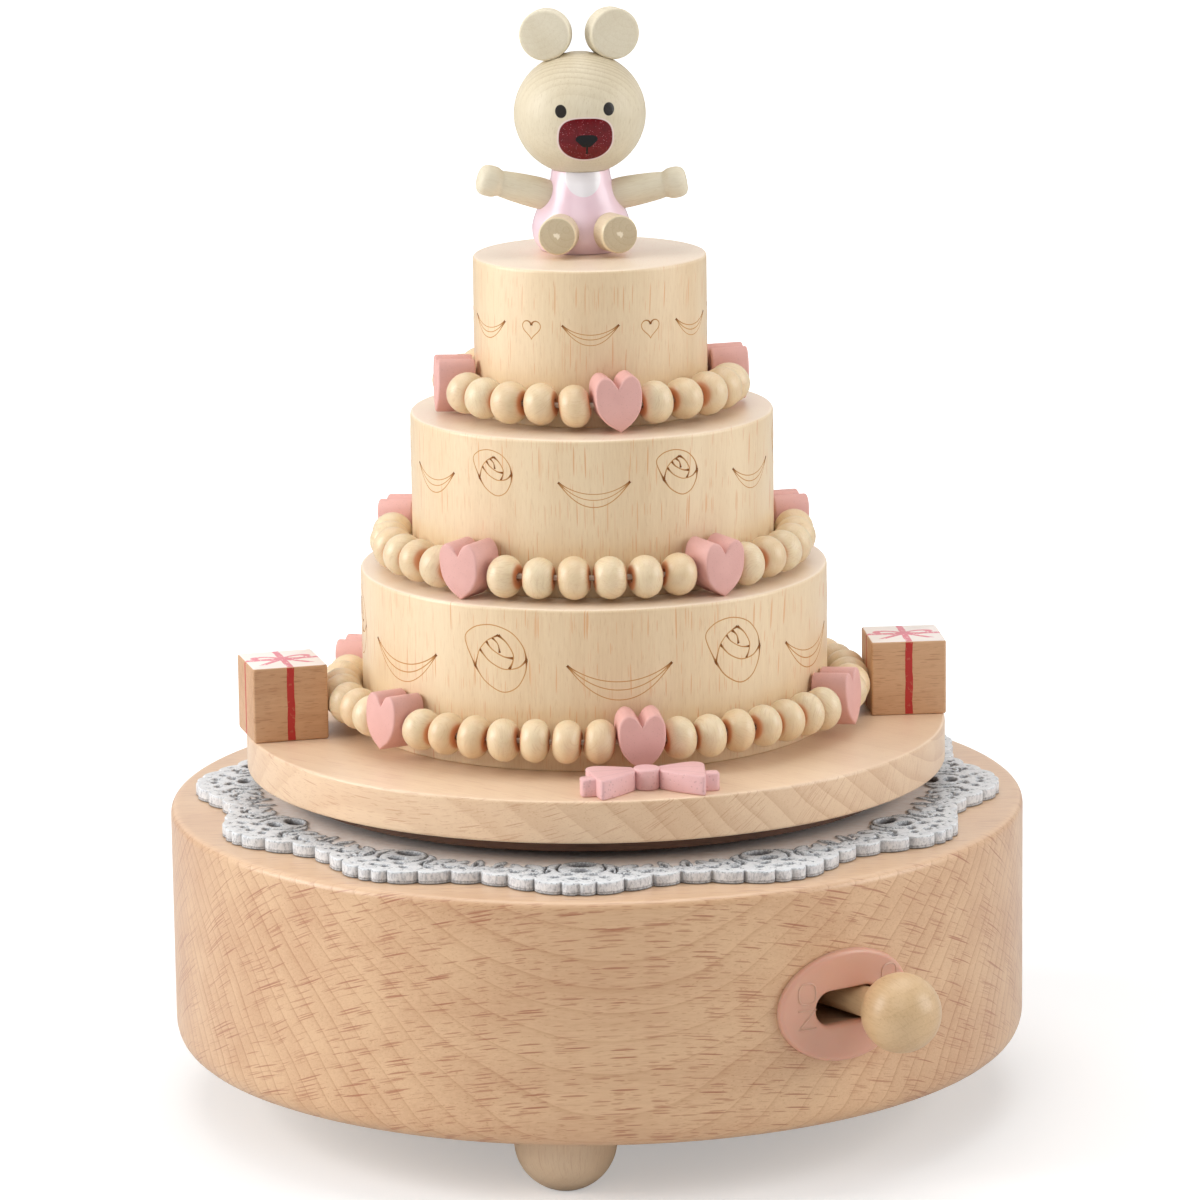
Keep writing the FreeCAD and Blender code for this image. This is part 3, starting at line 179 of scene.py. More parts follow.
def spin(axis, degrees):
    """A rotation about an axis through the origin, as a 3 by 3 array."""
    return np.array(Matrix.Rotation(math.radians(degrees), 3, axis))


def eased(value, start, end):
    """0 up to start, 1 from end on, and a smooth step between them."""
    share = np.clip((value - start) / (end - start), 0, 1)
    return share * share * (3 - 2 * share)


# Shapes: points, one per row, and faces as lists of point numbers. A line is points alone.

def lathe(profile, count=ROUND):
    """A body turned about Z, from (radius, height) points that run up from the axis and back to it."""
    angles = np.arange(count) * 2 * math.pi / count
    points, faces, rings = [], [], []
    for radius, z in profile:
        start = len(points)
        if radius < 1e-9:
            points.append((0.0, 0.0, z))
            rings.append([start] * count)
        else:
            points += [(radius * math.cos(a), radius * math.sin(a), z) for a in angles]
            rings.append(list(range(start, start + count)))
    for low, high in zip(rings, rings[1:]):
        for k in range(count):
            n = (k + 1) % count
            loop = [low[k], low[n], high[n], high[k]]
            faces.append(list(dict.fromkeys(loop)))
    return np.array(points), faces


def loop_rings(rings, close=False, caps=False):
    """Faces between rings of as many points each: round and round if closed, or with a cap at each end."""
    count = len(rings[0])
    pairs = list(zip(range(len(rings)), range(1, len(rings))))
    if close:
        pairs.append((len(rings) - 1, 0))
    faces = []
    for a, b in pairs:
        for k in range(count):
            n = (k + 1) % count
            faces.append([a * count + k, a * count + n, b * count + n, b * count + k])
    if caps:
        last = (len(rings) - 1) * count
        faces += [list(range(count))[::-1], list(range(last, last + count))]
    return np.concatenate(rings), faces


def softened(corners, closed=True, steps=5):
    """A line through (x, y, cut) corners, each eased off from cut before it to cut after it."""
    line = []
    count = len(corners)
    for k, (x, y, cut) in enumerate(corners):
        here = np.array([x, y])
        if cut == 0 or (not closed and k in (0, count - 1)):
            line.append(here)
            continue
        before = np.array(corners[k - 1][:2]) - here
        after = np.array(corners[(k + 1) % count][:2]) - here
        start = here + before * min(cut / np.linalg.norm(before), 0.48)
        end = here + after * min(cut / np.linalg.norm(after), 0.48)
        for s in np.linspace(0, 1, steps + 1):
            line.append((1 - s) ** 2 * start + 2 * s * (1 - s) * here + s ** 2 * end)
    kept = [line[0]]
    for point in line[1:]:
        if np.linalg.norm(point - kept[-1]) > 1e-3:
            kept.append(point)
    if closed and np.linalg.norm(kept[0] - kept[-1]) < 1e-3:
        kept.pop()
    return np.array(kept)


def catmull(points, steps):
    """A smooth line through (radius, height) points, ends included."""
    line = []
    guide = [points[0]] + list(points) + [points[-1]]
    for k in range(len(points) - 1):
        p0, p1, p2, p3 = (np.array(guide[k + i]) for i in range(4))
        for s in np.arange(steps) / steps:
            line.append(tuple(0.5 * (2 * p1 + (p2 - p0) * s + (2 * p0 - 5 * p1 + 4 * p2 - p3) * s ** 2
                                     + (3 * p1 - p0 - 3 * p2 + p3) * s ** 3)))
    line.append(tuple(points[-1]))
    return line


def offset_outline(outline, distance):
    """The outline drawn in by a distance, point by point along the corners' bisectors."""
    ahead = np.roll(outline, -1, axis=0) - outline
    ahead /= np.linalg.norm(ahead, axis=1)[:, None]
    behind = np.roll(ahead, 1, axis=0)
    normal = np.stack([-(ahead + behind)[:, 1], (ahead + behind)[:, 0]], axis=1)
    length = np.linalg.norm(normal, axis=1)[:, None]
    normal /= length
    spread = np.clip(2 / length, 1.0, 1.6)
    return outline + normal * distance * spread


def slab(outline, low, high, edge, steps=3):
    """A board cut to an outline, its edges rounded top and bottom."""
    outline = np.asarray(outline, float)
    ahead = np.roll(outline, -1, axis=0)
    if np.sum(outline[:, 0] * ahead[:, 1] - ahead[:, 0] * outline[:, 1]) < 0:
        outline = outline[::-1]
    rings = []
    turns = np.linspace(0, math.pi / 2, steps + 1)
    for level, way, angles in ((low, 1, turns), (high, -1, turns[::-1])):
        for a in angles:
            ring = offset_outline(outline, edge * (1 - math.sin(a)))
            z = level + way * edge * (1 - math.cos(a))
            rings.append(np.column_stack([ring, np.full(len(ring), z)]))
    return loop_rings(rings, caps=True)


def joined(shapes):
    """Several shapes as one."""
    points, faces, start = [], [], 0
    for shape_points, shape_faces in shapes:
        points.append(shape_points)
        faces += [[start + i for i in face] for face in shape_faces]
        start += len(shape_points)
    return np.concatenate(points), faces


def tube(path, radii, sides=8, closed=False):
    """A round tube along 3D points, with one radius for each."""
    path = np.asarray(path, float)
    radii = np.broadcast_to(radii, len(path))
    ahead = np.roll(path, -1, axis=0) - np.roll(path, 1, axis=0)
    if not closed:
        ahead[0] = path[1] - path[0]
        ahead[-1] = path[-1] - path[-2]
    ahead /= np.linalg.norm(ahead, axis=1)[:, None]
    angles = np.arange(sides) * 2 * math.pi / sides
    rings = []
    side = np.cross(ahead[0], [0, 0, 1.0])
    if np.linalg.norm(side) < 1e-6:
        side = np.array([1.0, 0, 0])
    for here, way, radius in zip(path, ahead, radii):
        side = side - way * (side @ way)
        side /= np.linalg.norm(side)
        up = np.cross(side, way)
        rings.append(here + radius * (np.cos(angles)[:, None] * side + np.sin(angles)[:, None] * up))
    return loop_rings(rings, close=closed, caps=not closed)


def placed_mesh(name, shape):
    """A shape as an object in the scene."""
    points, faces = shape
    mesh = bpy.data.meshes.new(name)
    mesh.from_pydata((np.asarray(points) * MM).tolist(), [], faces)
    obj = bpy.data.objects.new(name, mesh)
    bpy.context.scene.collection.objects.link(obj)
    return obj


def piece(name, shape, body, material, replaces=(), sharp=35.0):
    """Puts a shape into the scene as a piece that rides on a body."""
    obj = placed_mesh(name, shape)
    obj.data.validate()
    obj.data.shade_smooth()
    obj.data.set_sharp_from_angle(angle=math.radians(sharp))
    obj.data.materials.append(material)
    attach(obj, body)
    if replaces:
        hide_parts(*replaces)
    return obj


def places(obj):
    """An object's points in millimetres."""
    co = np.zeros(len(obj.data.vertices) * 3)
    obj.data.vertices.foreach_get("co", co)
    return co.reshape(-1, 3) / MM


def write(obj, name, values):
    """Stores a number or a vector for each point, for the material to read."""
    values = np.asarray(values, float)
    kind = "FLOAT" if values.ndim == 1 else "FLOAT_VECTOR"
    layer = obj.data.attributes.new(name, kind, "POINT")
    layer.data.foreach_set("value" if values.ndim == 1 else "vector", values.ravel())


def grow(obj, fibre, pith, points=None, shown=None):
    """Tells a wooden piece where in the log it was cut: along the fibres first, then across the rings.

    A piece that was turned after it was cut also gets the fibres' way as the scene shows it.
    """
    fibre = np.asarray(fibre, float)
    fibre /= np.linalg.norm(fibre)
    helper = np.array([0, 0, 1.0]) if abs(fibre[2]) < 0.9 else np.array([0, 1.0, 0])
    across = np.cross(helper, fibre)
    across /= np.linalg.norm(across)
    up = np.cross(fibre, across)
    away = (places(obj) if points is None else points) - np.asarray(pith, float)
    write(obj, "grain", np.column_stack([away @ fibre, away @ across, away @ up]))
    write(obj, "fibre", np.tile(fibre if shown is None else shown, (len(away), 1)))


# Materials

def tint(red, green, blue):
    """A colour given as screen values from 0 to 255, as the shader's linear one."""
    shares = [c / 255 for c in (red, green, blue)]
    return tuple(c / 12.92 if c <= 0.04045 else ((c + 0.055) / 1.055) ** 2.4 for c in shares) + (1.0,)


def darker(colour, share):
    return tuple(part * share for part in colour[:3]) + (1.0,)


class Value:
    """What a node gives. Sums and products of it add the nodes that work them out."""

    def __init__(self, graph, socket):
        self.graph, self.socket = graph, socket

    def __add__(self, other):
        return self.graph.math("ADD", self, other)

    def __sub__(self, number):
        return self + -number

    def __mul__(self, other):
        return self.graph.math("MULTIPLY", self, other)

    def __truediv__(self, number):
        return self * (1 / number)

    def __pow__(self, power):
        return self.graph.math("POWER", self, power)

    def __abs__(self):
        return self.graph.math("ABSOLUTE", self)


class Graph:
    """The nodes of a material or of the world, with short calls for the ones used here."""

    def __init__(self, owner):
        owner.use_nodes = True
        self.tree = owner.node_tree
        self.tree.nodes.clear()

    def plug(self, socket, value):
        if isinstance(value, Value):
            self.tree.links.new(value.socket, socket)
        elif isinstance(value, (int, float)) and socket.type in ("VECTOR", "RGBA"):
            socket.default_value = [value] * len(socket.default_value)
        else:
            socket.default_value = value

    def node(self, kind, inputs, *outputs, **settings):
        """Adds a node, and gives its first output or the ones named."""
        made = self.tree.nodes.new(kind)
        for key, value in settings.items():
            setattr(made, key, value)
        for key, value in inputs.items():
            self.plug(made.inputs[key], value)
        values = [Value(self, made.outputs[key]) for key in outputs or (0,)]
        return values if len(values) > 1 else values[0]

    def end(self, kind, value):
        """Adds the node that a graph ends in."""
        self.tree.links.new(value.socket, self.tree.nodes.new(kind).inputs[0])

    def math(self, operation, a, b=0.0, clamp=False):
        return self.node("ShaderNodeMath", {0: a, 1: b}, operation=operation, use_clamp=clamp)

    def either(self, first, *others):
        for other in others:
            first = self.math("MAXIMUM", first, other)
        return first

    def apart(self, across, up):
        """The length of a way across and up."""
        return self.math("SQRT", across * across + up * up)

    def part(self, value, start, end, low=0.0, high=1.0, ease="SMOOTHSTEP"):
        """Value eased from low at start to high at end."""
        inputs = {0: value, 1: start, 2: end, 3: low, 4: high}
        return self.node("ShaderNodeMapRange", inputs, interpolation_type=ease)

    def inside(self, value, limit, soft=0.04):
        """1 where value is under the limit, 0 where it is over it."""
        return self.part(value, limit + soft, limit - soft)

    def split(self, vector):
        return self.node("ShaderNodeSeparateXYZ", {0: vector}, 0, 1, 2)

    def combine(self, x, y, z):
        return self.node("ShaderNodeCombineXYZ", {0: x, 1: y, 2: z})

    def attribute(self, name, output="Vector"):
        return self.node("ShaderNodeAttribute", {}, output, attribute_name=name)

    def coordinates(self, kind):
        return self.node("ShaderNodeTexCoord", {}, kind)

    def noise(self, vector, scale=1.0, detail=2.0, roughness=0.5, output=0):
        inputs = {"Vector": vector, "Scale": scale, "Detail": detail, "Roughness": roughness}
        return self.node("ShaderNodeTexNoise", inputs, output)

    def cells(self, vector, scale=1.0):
        """Distance to the nearest of scattered points, and that point's random colour."""
        return self.node("ShaderNodeTexVoronoi", {"Vector": vector, "Scale": scale}, "Distance", "Color")

    def mix(self, share, a, b):
        return self.node("ShaderNodeMix", {0: share, 6: a, 7: b}, 2, data_type="RGBA", clamp_factor=True)


class Look(Graph):
    """A material. Its constants are set on the shader's own sockets."""

    def __init__(self, name, **constants):
        self.material = bpy.data.materials.new(name)
        super().__init__(self.material)
        self.shader = self.tree.nodes.new("ShaderNodeBsdfPrincipled")
        self.end("ShaderNodeOutputMaterial", Value(self, self.shader.outputs[0]))
        for socket, value in constants.items():
            self.set(socket.replace("_", " "), value)

    def set(self, name, value):
        self.plug(self.shader.inputs[name], value)

    def finish(self, colour, height, strength, distance):
        """The material in a colour, with the bump of a height in millimetres times a distance."""
        self.set("Base Color", colour)
        bump = {"Height": height, "Strength": strength, "Distance": distance * MM}
        self.set("Normal", self.node("ShaderNodeBump", bump))
        return self.material

    def place(self):
        """The object's own coordinates in millimetres."""
        place = self.coordinates("Object")
        return self.node("ShaderNodeVectorMath", {0: place, "Scale": 1 / MM}, operation="SCALE")

    def upright(self, start, end):
        """1 on upright walls and 0 on level faces."""
        return self.part(abs(self.split(self.coordinates("Normal"))[2]), start, end)


def wood(look, pale, deep, fleck, ring=2.6, ring_depth=0.4, late_power=9.0, log_radius=130.0, wander=3.0,
         fleck_size=(5.0, 0.42, 12.0), fleck_depth=0.7, fleck_share=0.85, streak=0.5, pores=0.3,
         end_shade=0.95, base_shade=0.1):
    """The colour and the height of a wood from its log coordinates: rings, streaks, pores and ray flecks."""
    x, y, z = look.split(look.attribute("grain"))

    def drawn_out(along, across):
        return look.combine(x * along, y * across, z * across)

    drift = look.split(look.noise(drawn_out(0.014, 0.05), output=1))
    y = y + (drift[0] - 0.5) * wander
    z = z + (drift[1] - 0.5) * wander
    radius = look.apart(y, z)
    angle = look.math("ARCTAN2", z, y)
    uneven = look.noise(look.combine(0.0, 0.0, radius * 0.5), detail=1.0)
    within = look.math("FRACT", (radius + uneven * ring) / ring)
    late = within ** late_power * 0.85 + within * 0.15
    late = late * look.part(within, 1.0, 0.955)
    fibre = look.attribute("fibre")
    facing = look.node("ShaderNodeVectorMath", {0: look.coordinates("Normal"), 1: fibre}, "Value",
                       operation="DOT_PRODUCT")
    end = look.part(abs(facing), 0.35, 0.95)
    broad = look.noise(drawn_out(0.012, 0.16), detail=3.0)
    fine = look.noise(drawn_out(0.3, 4.0), detail=4.0, roughness=0.6)
    pore = look.part(look.noise(drawn_out(0.7, 7.0), detail=1.0), 0.60, 0.74)
    fleck_length, fleck_width, fleck_reach = fleck_size
    around = angle * (log_radius / fleck_width)
    rays = []
    for size, shift in ((1.0, 0.0), (0.66, 31.7), (0.42, 57.3)):
        along = x / (fleck_length * size) + shift
        beside = around / (0.5 + 0.5 * size)
        distance, colour = look.cells(look.combine(along, beside, radius / (fleck_reach * size) + shift))
        strength = look.part(look.split(colour)[0], 1.0 - fleck_share, 1.0)
        rays.append(look.part(distance, 0.38, 0.26) * (strength * (0.4 + 0.6 * size)))
    ray = look.either(*rays)
    rings = late * ((end * 0.5 + 0.5) * ring_depth)
    streaks = (broad * 1.2 + fine * 0.8 - 0.95) * streak
    shadow = rings + streaks + pore * pores
    tone = look.mix(look.math("ADD", shadow, base_shade, clamp=True), pale, deep)
    tone = look.mix(ray * fleck_depth, tone, fleck)
    shade = look.part(end, 0.0, 1.0, 1.0, end_shade)
    grey = look.combine(shade, shade, shade)
    tone = look.node("ShaderNodeVectorMath", {0: tone, 1: grey}, operation="MULTIPLY")
    height = fine * 0.35 + (ray * -0.5 + pore * -0.3)
    return tone, height


def plain_wood(name, roughness=0.42, coat=0.0, top=None, **settings):
    """A wood's material, its level top mixed with a paler colour if one is given: painted sheen and top light."""
    look = Look(name, Roughness=roughness, Coat_Weight=coat, Coat_Roughness=0.4)
    tone, height = wood(look, **settings)
    if top is not None:
        painted_top_sheen = look.part(look.split(look.coordinates("Normal"))[2], 0.5, 0.9)
        # The level top is mixed towards the top colour: painted sheen and top light.
        tone = look.mix(painted_top_sheen * 0.5, tone, top)
    return look.finish(tone, height, 0.25, 0.12)


# The top colours are paler colours for the level faces: painted sheen and top light.
drum_wood = plain_wood(
    "drum_beech", pale=tint(222, 182, 140), deep=tint(182, 126, 84), fleck=tint(168, 98, 60),
    top=tint(231, 198, 166), coat=0.75, ring=1.7, ring_depth=1.2, late_power=13.0,
    fleck_size=(5.4, 0.26, 16.0), fleck_depth=0.85, fleck_share=0.5, streak=0.85, pores=0.4)
table_wood = plain_wood(
    "turntable_beech", pale=tint(236, 204, 168), deep=tint(204, 160, 120), fleck=tint(186, 122, 80),
    top=tint(243, 217, 189), coat=0.75, ring=2.7, ring_depth=0.5, late_power=2.2, log_radius=75.0,
    fleck_size=(5.0, 0.24, 5.0), fleck_depth=0.5, fleck_share=0.4, wander=2.5, pores=0.4)
tier_wood = plain_wood(
    "tier_maple", pale=tint(238, 213, 175), deep=tint(212, 175, 130), fleck=tint(222, 160, 102),
    top=tint(255, 238, 223), coat=0.7, ring=3.0, ring_depth=0.12, log_radius=95.0, streak=0.8,
    fleck_size=(6.5, 0.26, 3.0), fleck_depth=0.75, fleck_share=0.25, end_shade=0.98)
foot_wood = plain_wood(
    "foot_beech", pale=tint(230, 204, 172), deep=tint(204, 171, 137), fleck=tint(178, 122, 84),
    coat=0.15, ring=2.4, ring_depth=0.3, log_radius=15.0, fleck_depth=0.25, fleck_share=0.5)
knob_wood = plain_wood(
    "knob_maple", pale=tint(218, 184, 140), deep=tint(178, 138, 94), fleck=tint(176, 128, 84),
    roughness=0.38, coat=0.3, ring=1.3, ring_depth=0.3, log_radius=15.0, wander=2.0, streak=1.0,
    fleck_size=(3.0, 0.4, 3.0), fleck_depth=0.15, fleck_share=0.3)
bear_wood = plain_wood(
    "bear_maple", pale=tint(236, 226, 202), deep=tint(212, 196, 164), fleck=tint(190, 164, 126),
    roughness=0.5, ring=0.9, ring_depth=0.22, log_radius=15.0, wander=1.5, streak=0.8,
    fleck_size=(2.5, 0.4, 2.0), fleck_depth=0.15, fleck_share=0.5, end_shade=0.96)
# A dark brown for the spacer disc under the turntable: painted shade, as the disc sits in the turntable's shadow.
spacer_shade_wood = plain_wood(
    "spacer_painted_shade", pale=tint(112, 78, 58), deep=tint(84, 56, 42), fleck=tint(60, 38, 28), roughness=0.55)


def bead_look():
    """Cream lacquer over pale wood, with each bead a little different, and its tips a warm dark: painted shade
    where the beads meet.
    """
    look = Look("bead_lacquer", Roughness=0.44, Coat_Weight=0.35, Coat_Roughness=0.25,
                Subsurface_Weight=0.08, Subsurface_Scale=0.8 * MM)
    tone, height = wood(look, tint(236, 216, 180), tint(214, 181, 139), tint(188, 142, 96), ring=1.3,
                        ring_depth=0.3, fleck_size=(2.5, 0.4, 2.5), fleck_depth=0.2, log_radius=14.0,
                        wander=1.5, streak=0.7)
    own = look.part(look.attribute("own", "Fac"), 0.0, 1.0, 0.0, 0.35)
    tone = look.mix(own, tone, tint(222, 184, 136))
    # The tips near the holes are mixed towards a warm dark: painted shade between the beads.
    tone = look.mix(look.attribute("tip", "Fac") * 0.85, tone, tint(204, 122, 70))
    return look.finish(tone, height, 0.12, 0.1)


def pink_paint(name, pale, deep, folds=False):
    """Matte dusty pink paint, painted darker in its dimples as shade. With folds, it is pitted on sawn sides and
    creased on top, with painted shade in the pits and creases.
    """
    look = Look(name, Roughness=0.55, Specular_IOR_Level=0.35)
    place = look.place()
    cloud = look.noise(place, 0.35)
    speckle = look.part(look.cells(place, 2.6)[0], 0.05, 0.3)
    tone = look.mix(cloud, pale, deep)
    # Darker in the small dimples: painted shade.
    tone = look.mix(look.part(speckle, 1.0, 0.0) * 0.35, tone, darker(deep, 0.8))
    height = speckle * 0.6 + look.noise(place, 5.0, 3.0)
    if folds:
        side = look.upright(0.8, 0.3)
        pitted = side * look.part(look.cells(place, 1.7)[0], 0.30, 0.10)
        height = height * 0.5 + pitted * -2.0
        # Darker in the pits: painted shade.
        tone = look.mix(pitted * 0.5, tone, darker(deep, 0.75))
        x, y = look.split(look.attribute("local"))[:2]
        out = abs(x)
        for start, slope in ((0.45, -0.10), (0.55, -0.62)):
            off = abs(y + (out * -slope - start))
            crease = look.inside(off, 0.07, 0.07) * look.part(out, 1.7, 1.9)
            crease = crease * look.part(side, 1.0, 0.0)
            height = height + crease * -3.0
            # Darker along each crease: painted shade in the groove.
            tone = look.mix(crease * 0.7, tone, darker(deep, 0.78))
    return look.finish(tone, height, 0.35, 0.06)


def doily_look():
    """White brushed paint, worn grey in the carving, with painted shade in the notches between scallops, and a
    leathery centre painted near white as painted light.
    """
    look = Look("doily_paint", Roughness=0.6)
    place = look.place()
    carved, rubbed, centre = [look.attribute(name, "Fac") for name in DOILY_MARKS]
    coarse = look.noise(place, 0.9, 3.0, 0.6)
    speck = look.noise(place, 3.2, 4.0, 0.7)
    x, y, z = look.split(place)
    brush = look.noise(look.combine(x * 3.2, y * 3.2, z * 1.5), 1.0, 4.0, 0.65)
    side = look.upright(0.7, 0.3)
    white = look.mix(look.part(coarse, 0.45, 0.75), tint(231, 233, 235), tint(210, 213, 217))
    white = look.mix(side * look.part(brush, 0.42, 0.72) * 0.75, white, tint(160, 166, 174))
    # Grey worn into the carving, with a little painted shade at the notches through the same mark.
    worn = look.part(speck + rubbed * 0.24, 0.60, 0.78) * 0.8
    white = look.mix(worn, white, tint(136, 140, 146))
    # The carving is painted dark, and the notches between scallops get painted shade through the same mark.
    white = look.mix(carved * look.part(speck, 0.35, 0.65, 1.0, 0.85), white, tint(52, 46, 44))
    hide = look.noise(look.combine(x, y * 2.4, z), 0.9, 3.0)
    # The leather is painted near white, paler than its own beige grey: painted light for the shade under the
    # turntable's edge.
    leather = look.mix(look.part(hide, 0.3, 0.7), tint(255, 251, 248), tint(247, 238, 232))
    tone = look.mix(centre, white, leather)
    height = (speck + brush * side) * look.part(centre, 0.0, 1.0, 0.5, 0.1) + hide * (centre * 0.8)
    return look.finish(tone, height, 0.45, 0.12)


def gift_look():
    """Beech with a red painted stripe down each side, and a pink ribbon and bow painted on top, the top itself
    painted nearly white as painted top light and glare.
    """
    look = Look("gift_beech", Roughness=0.5)
    tone, height = wood(look, tint(214, 171, 132), tint(182, 133, 94), tint(156, 106, 70), ring=2.2,
                        fleck_size=(3.6, 0.28, 6.0), fleck_depth=0.45, streak=0.9, log_radius=28.0,
                        fleck_share=0.4, pores=0.5)
    local = look.attribute("local")
    x, y, z = look.split(local)
    wobble = (look.noise(local, 0.5) - 0.5) * 0.35
    off_x = abs(x + wobble)
    off_y = abs(y + wobble)
    face = GIFT_SIZE / 2 - 0.06
    on_top, on_front, on_side = [look.part(out, face - 0.02, face + 0.02) for out in (z, abs(y), abs(x))]
    red = look.either(look.inside(off_x, 0.5) * on_front, look.inside(off_y, 0.3) * on_side)
    ribbon = look.either(look.inside(off_x, 0.42), look.inside(off_y, 0.42))
    for side in (-1, 1):
        across = (x - side * 1.9) / 1.55
        far = look.apart(across, (y + abs(x) * -0.28) / 0.95)
        ribbon = look.either(ribbon, look.inside(abs(far - 1.0), 0.3, 0.06))
    tail = abs(abs(x) * 0.9 + y)
    ribbon = look.either(ribbon, look.inside(tail, 0.45) * look.part(y, -2.9, -2.8))
    ribbon = ribbon * on_top
    worn = look.part(look.noise(local, 2.4, 3.0), 0.30, 0.42)
    # The top is painted nearly white: painted top light and glare.
    tone = look.mix(on_top * 0.95, tone, tint(255, 246, 240))
    tone = look.mix(red * look.part(worn, 0.0, 1.0, 0.8, 1.0), tone, tint(186, 44, 38))
    tone = look.mix(ribbon * worn, tone, tint(230, 140, 152))
    return look.finish(tone, height + look.either(red, ribbon) * 0.5, 0.3, 0.12)


def plate_look():
    look = Look("plate_plastic", Subsurface_Weight=0.25, Subsurface_Scale=1.5 * MM)
    place = look.place()
    tone = look.mix(look.noise(place, 0.12, 1.0), tint(222, 170, 146), tint(212, 158, 134))
    look.set("Roughness", look.part(look.noise(place, 1.5, 3.0), 0.3, 0.7, 0.3, 0.4))
    return look.finish(tone, look.noise(place, 2.0), 0.06, 0.05)


def elastic_look():
    """Clear elastic, a little cloudy."""
    look = Look("clear_elastic", Transmission_Weight=0.5, IOR=1.4, Specular_IOR_Level=0.2)
    place = look.place()
    look.set("Base Color", look.mix(look.noise(place, 0.6), tint(240, 222, 200), tint(226, 202, 176)))
    look.set("Roughness", look.part(look.noise(place, 1.5), 0.3, 0.7, 0.4, 0.55))
    return look.material


def burnt_look():
    """Lines burnt into the wood, darkest where the hand stayed longest."""
    look = Look("burnt_line", Roughness=0.8, Specular_IOR_Level=0.1)
    place = look.place()
    burn = look.math("ADD", look.attribute("burn", "Fac"), look.noise(place, 1.2, 3.0) * 0.4, clamp=True)
    tone = look.mix(look.part(burn, 0.2, 1.2), tint(206, 154, 98), tint(112, 58, 24))
    return look.finish(tone, look.noise(place, 6.0), 0.2, 0.03)


def painted_bear_look():
    """The bear's glossy pink body with a round white bib."""
    look = Look("bear_pink_lacquer", Roughness=0.32, Coat_Weight=0.5, Coat_Roughness=0.16)
    local = look.attribute("local")
    x, y, z = look.split(local)
    tone = look.mix(look.noise(local, 0.25), tint(246, 220, 231), tint(239, 205, 217))
    far = look.apart(x, z - BIB_HEIGHT)
    bib = look.inside(far, BIB_RADIUS, 0.05) * look.part(y, -0.2, -0.6)
    tone = look.mix(bib, tone, tint(240, 236, 240))
    return look.finish(tone, look.noise(local, 1.6, 3.0) + bib * 0.8, 0.18, 0.08)


def bear_face_look():
    """Pale wood with a painted face: two eyes, and a nose on a dark red glittering muzzle."""
    look = Look("bear_face", Specular_IOR_Level=0.3)
    local = look.attribute("local")
    x, y, z = look.split(local)
    tone, height = wood(look, tint(226, 214, 188), tint(188, 168, 132), tint(184, 158, 120), ring=0.55,
                        ring_depth=look.part(z, 0.0, 6.0, 0.1, 0.65), fleck_size=(2.5, 0.4, 3.0),
                        fleck_depth=0.1, log_radius=15.0, wander=1.5, end_shade=0.97, late_power=3.0)
    front = look.part(y, -1.0, -1.5)

    def oval(centre, half_x, half_z, power=2.0):
        """1 on the edge of an oval, and less within it. Over a power of 2 it is squarer."""
        across = abs((x - centre[0]) / half_x) ** power
        return (across + abs((z - centre[1]) / half_z) ** power) ** (1 / power)

    above = look.part(z, MUZZLE[1] - 0.05, MUZZLE[1] + 0.05)
    muzzle = look.split(look.mix(above, *[oval(MUZZLE, *MUZZLE_HALVES, power) for power in (2.1, 3.0)]))[0]
    red = look.inside(muzzle, 1.0, 0.015) * front
    rim = look.inside(muzzle, 1.06, 0.02) * front
    glitter, chance = look.cells(local, 7.0)
    spark = look.part(look.split(chance)[0], 0.82, 0.9) * look.part(glitter, 0.45, 0.2)
    deep_red = look.mix(look.noise(local, 1.1, 3.0), tint(126, 10, 22), tint(80, 3, 11))
    # The glitter's sparkles are mixed in pale pink: painted glints.
    deep_red = look.mix(spark * 0.55, deep_red, tint(214, 132, 140))
    nose = look.inside(oval(NOSE, *NOSE_HALVES, 3.4), 1.0)
    slope = abs(x - NOSE[0]) + (z + (1.0 - NOSE[1])) * -1.05
    nose = nose * look.inside(slope, 0.25, 0.05)
    stem = look.inside(abs(x - (NOSE[0] + 0.06)), 0.11, 0.03)
    stem = stem * look.inside(abs(z + (1.2 - NOSE[1])), 0.55)
    nose = look.either(nose, stem) * front
    eyes = look.either(*[look.inside(oval(place, *EYE_HALVES), 1.0) for place in EYES]) * front
    tone = look.mix(rim, tone, tint(236, 214, 206))
    tone = look.mix(red, tone, deep_red)
    tone = look.mix(nose, tone, tint(3, 2, 3))
    tone = look.mix(eyes, tone, tint(50, 46, 44))
    paint = look.either(rim, eyes, nose)
    look.set("Roughness", look.part(paint, 0.0, 1.0, 0.4, 0.16))
    return look.finish(tone, height + (paint * 0.6 + spark * red * 0.6), 0.2, 0.12)


def leg_look():
    """Pale wood whose sawn end shows darker grain and a small pale mark from the lathe's centre."""
    look = Look("bear_leg_maple", Roughness=0.42, Coat_Weight=0.25, Coat_Roughness=0.25)
    tone, height = wood(look, tint(234, 216, 182), tint(204, 180, 142), tint(180, 150, 110), ring=0.9,
                        fleck_size=(2.5, 0.4, 2.0), fleck_depth=0.2, log_radius=10.0, wander=1.0,
                        end_shade=0.74, fleck_share=0.5)
    local = look.attribute("local")
    x, y, z = look.split(local)
    ragged = (look.noise(local, 2.4, 3.0) - 0.5) * 1.1
    mark = look.inside(look.apart(x, z) + ragged, 0.38, 0.08) * look.part(y, 0.25, 0.0)
    tone = look.mix(mark, tone, tint(240, 228, 204))
    return look.finish(tone, height + mark, 0.25, 0.12)


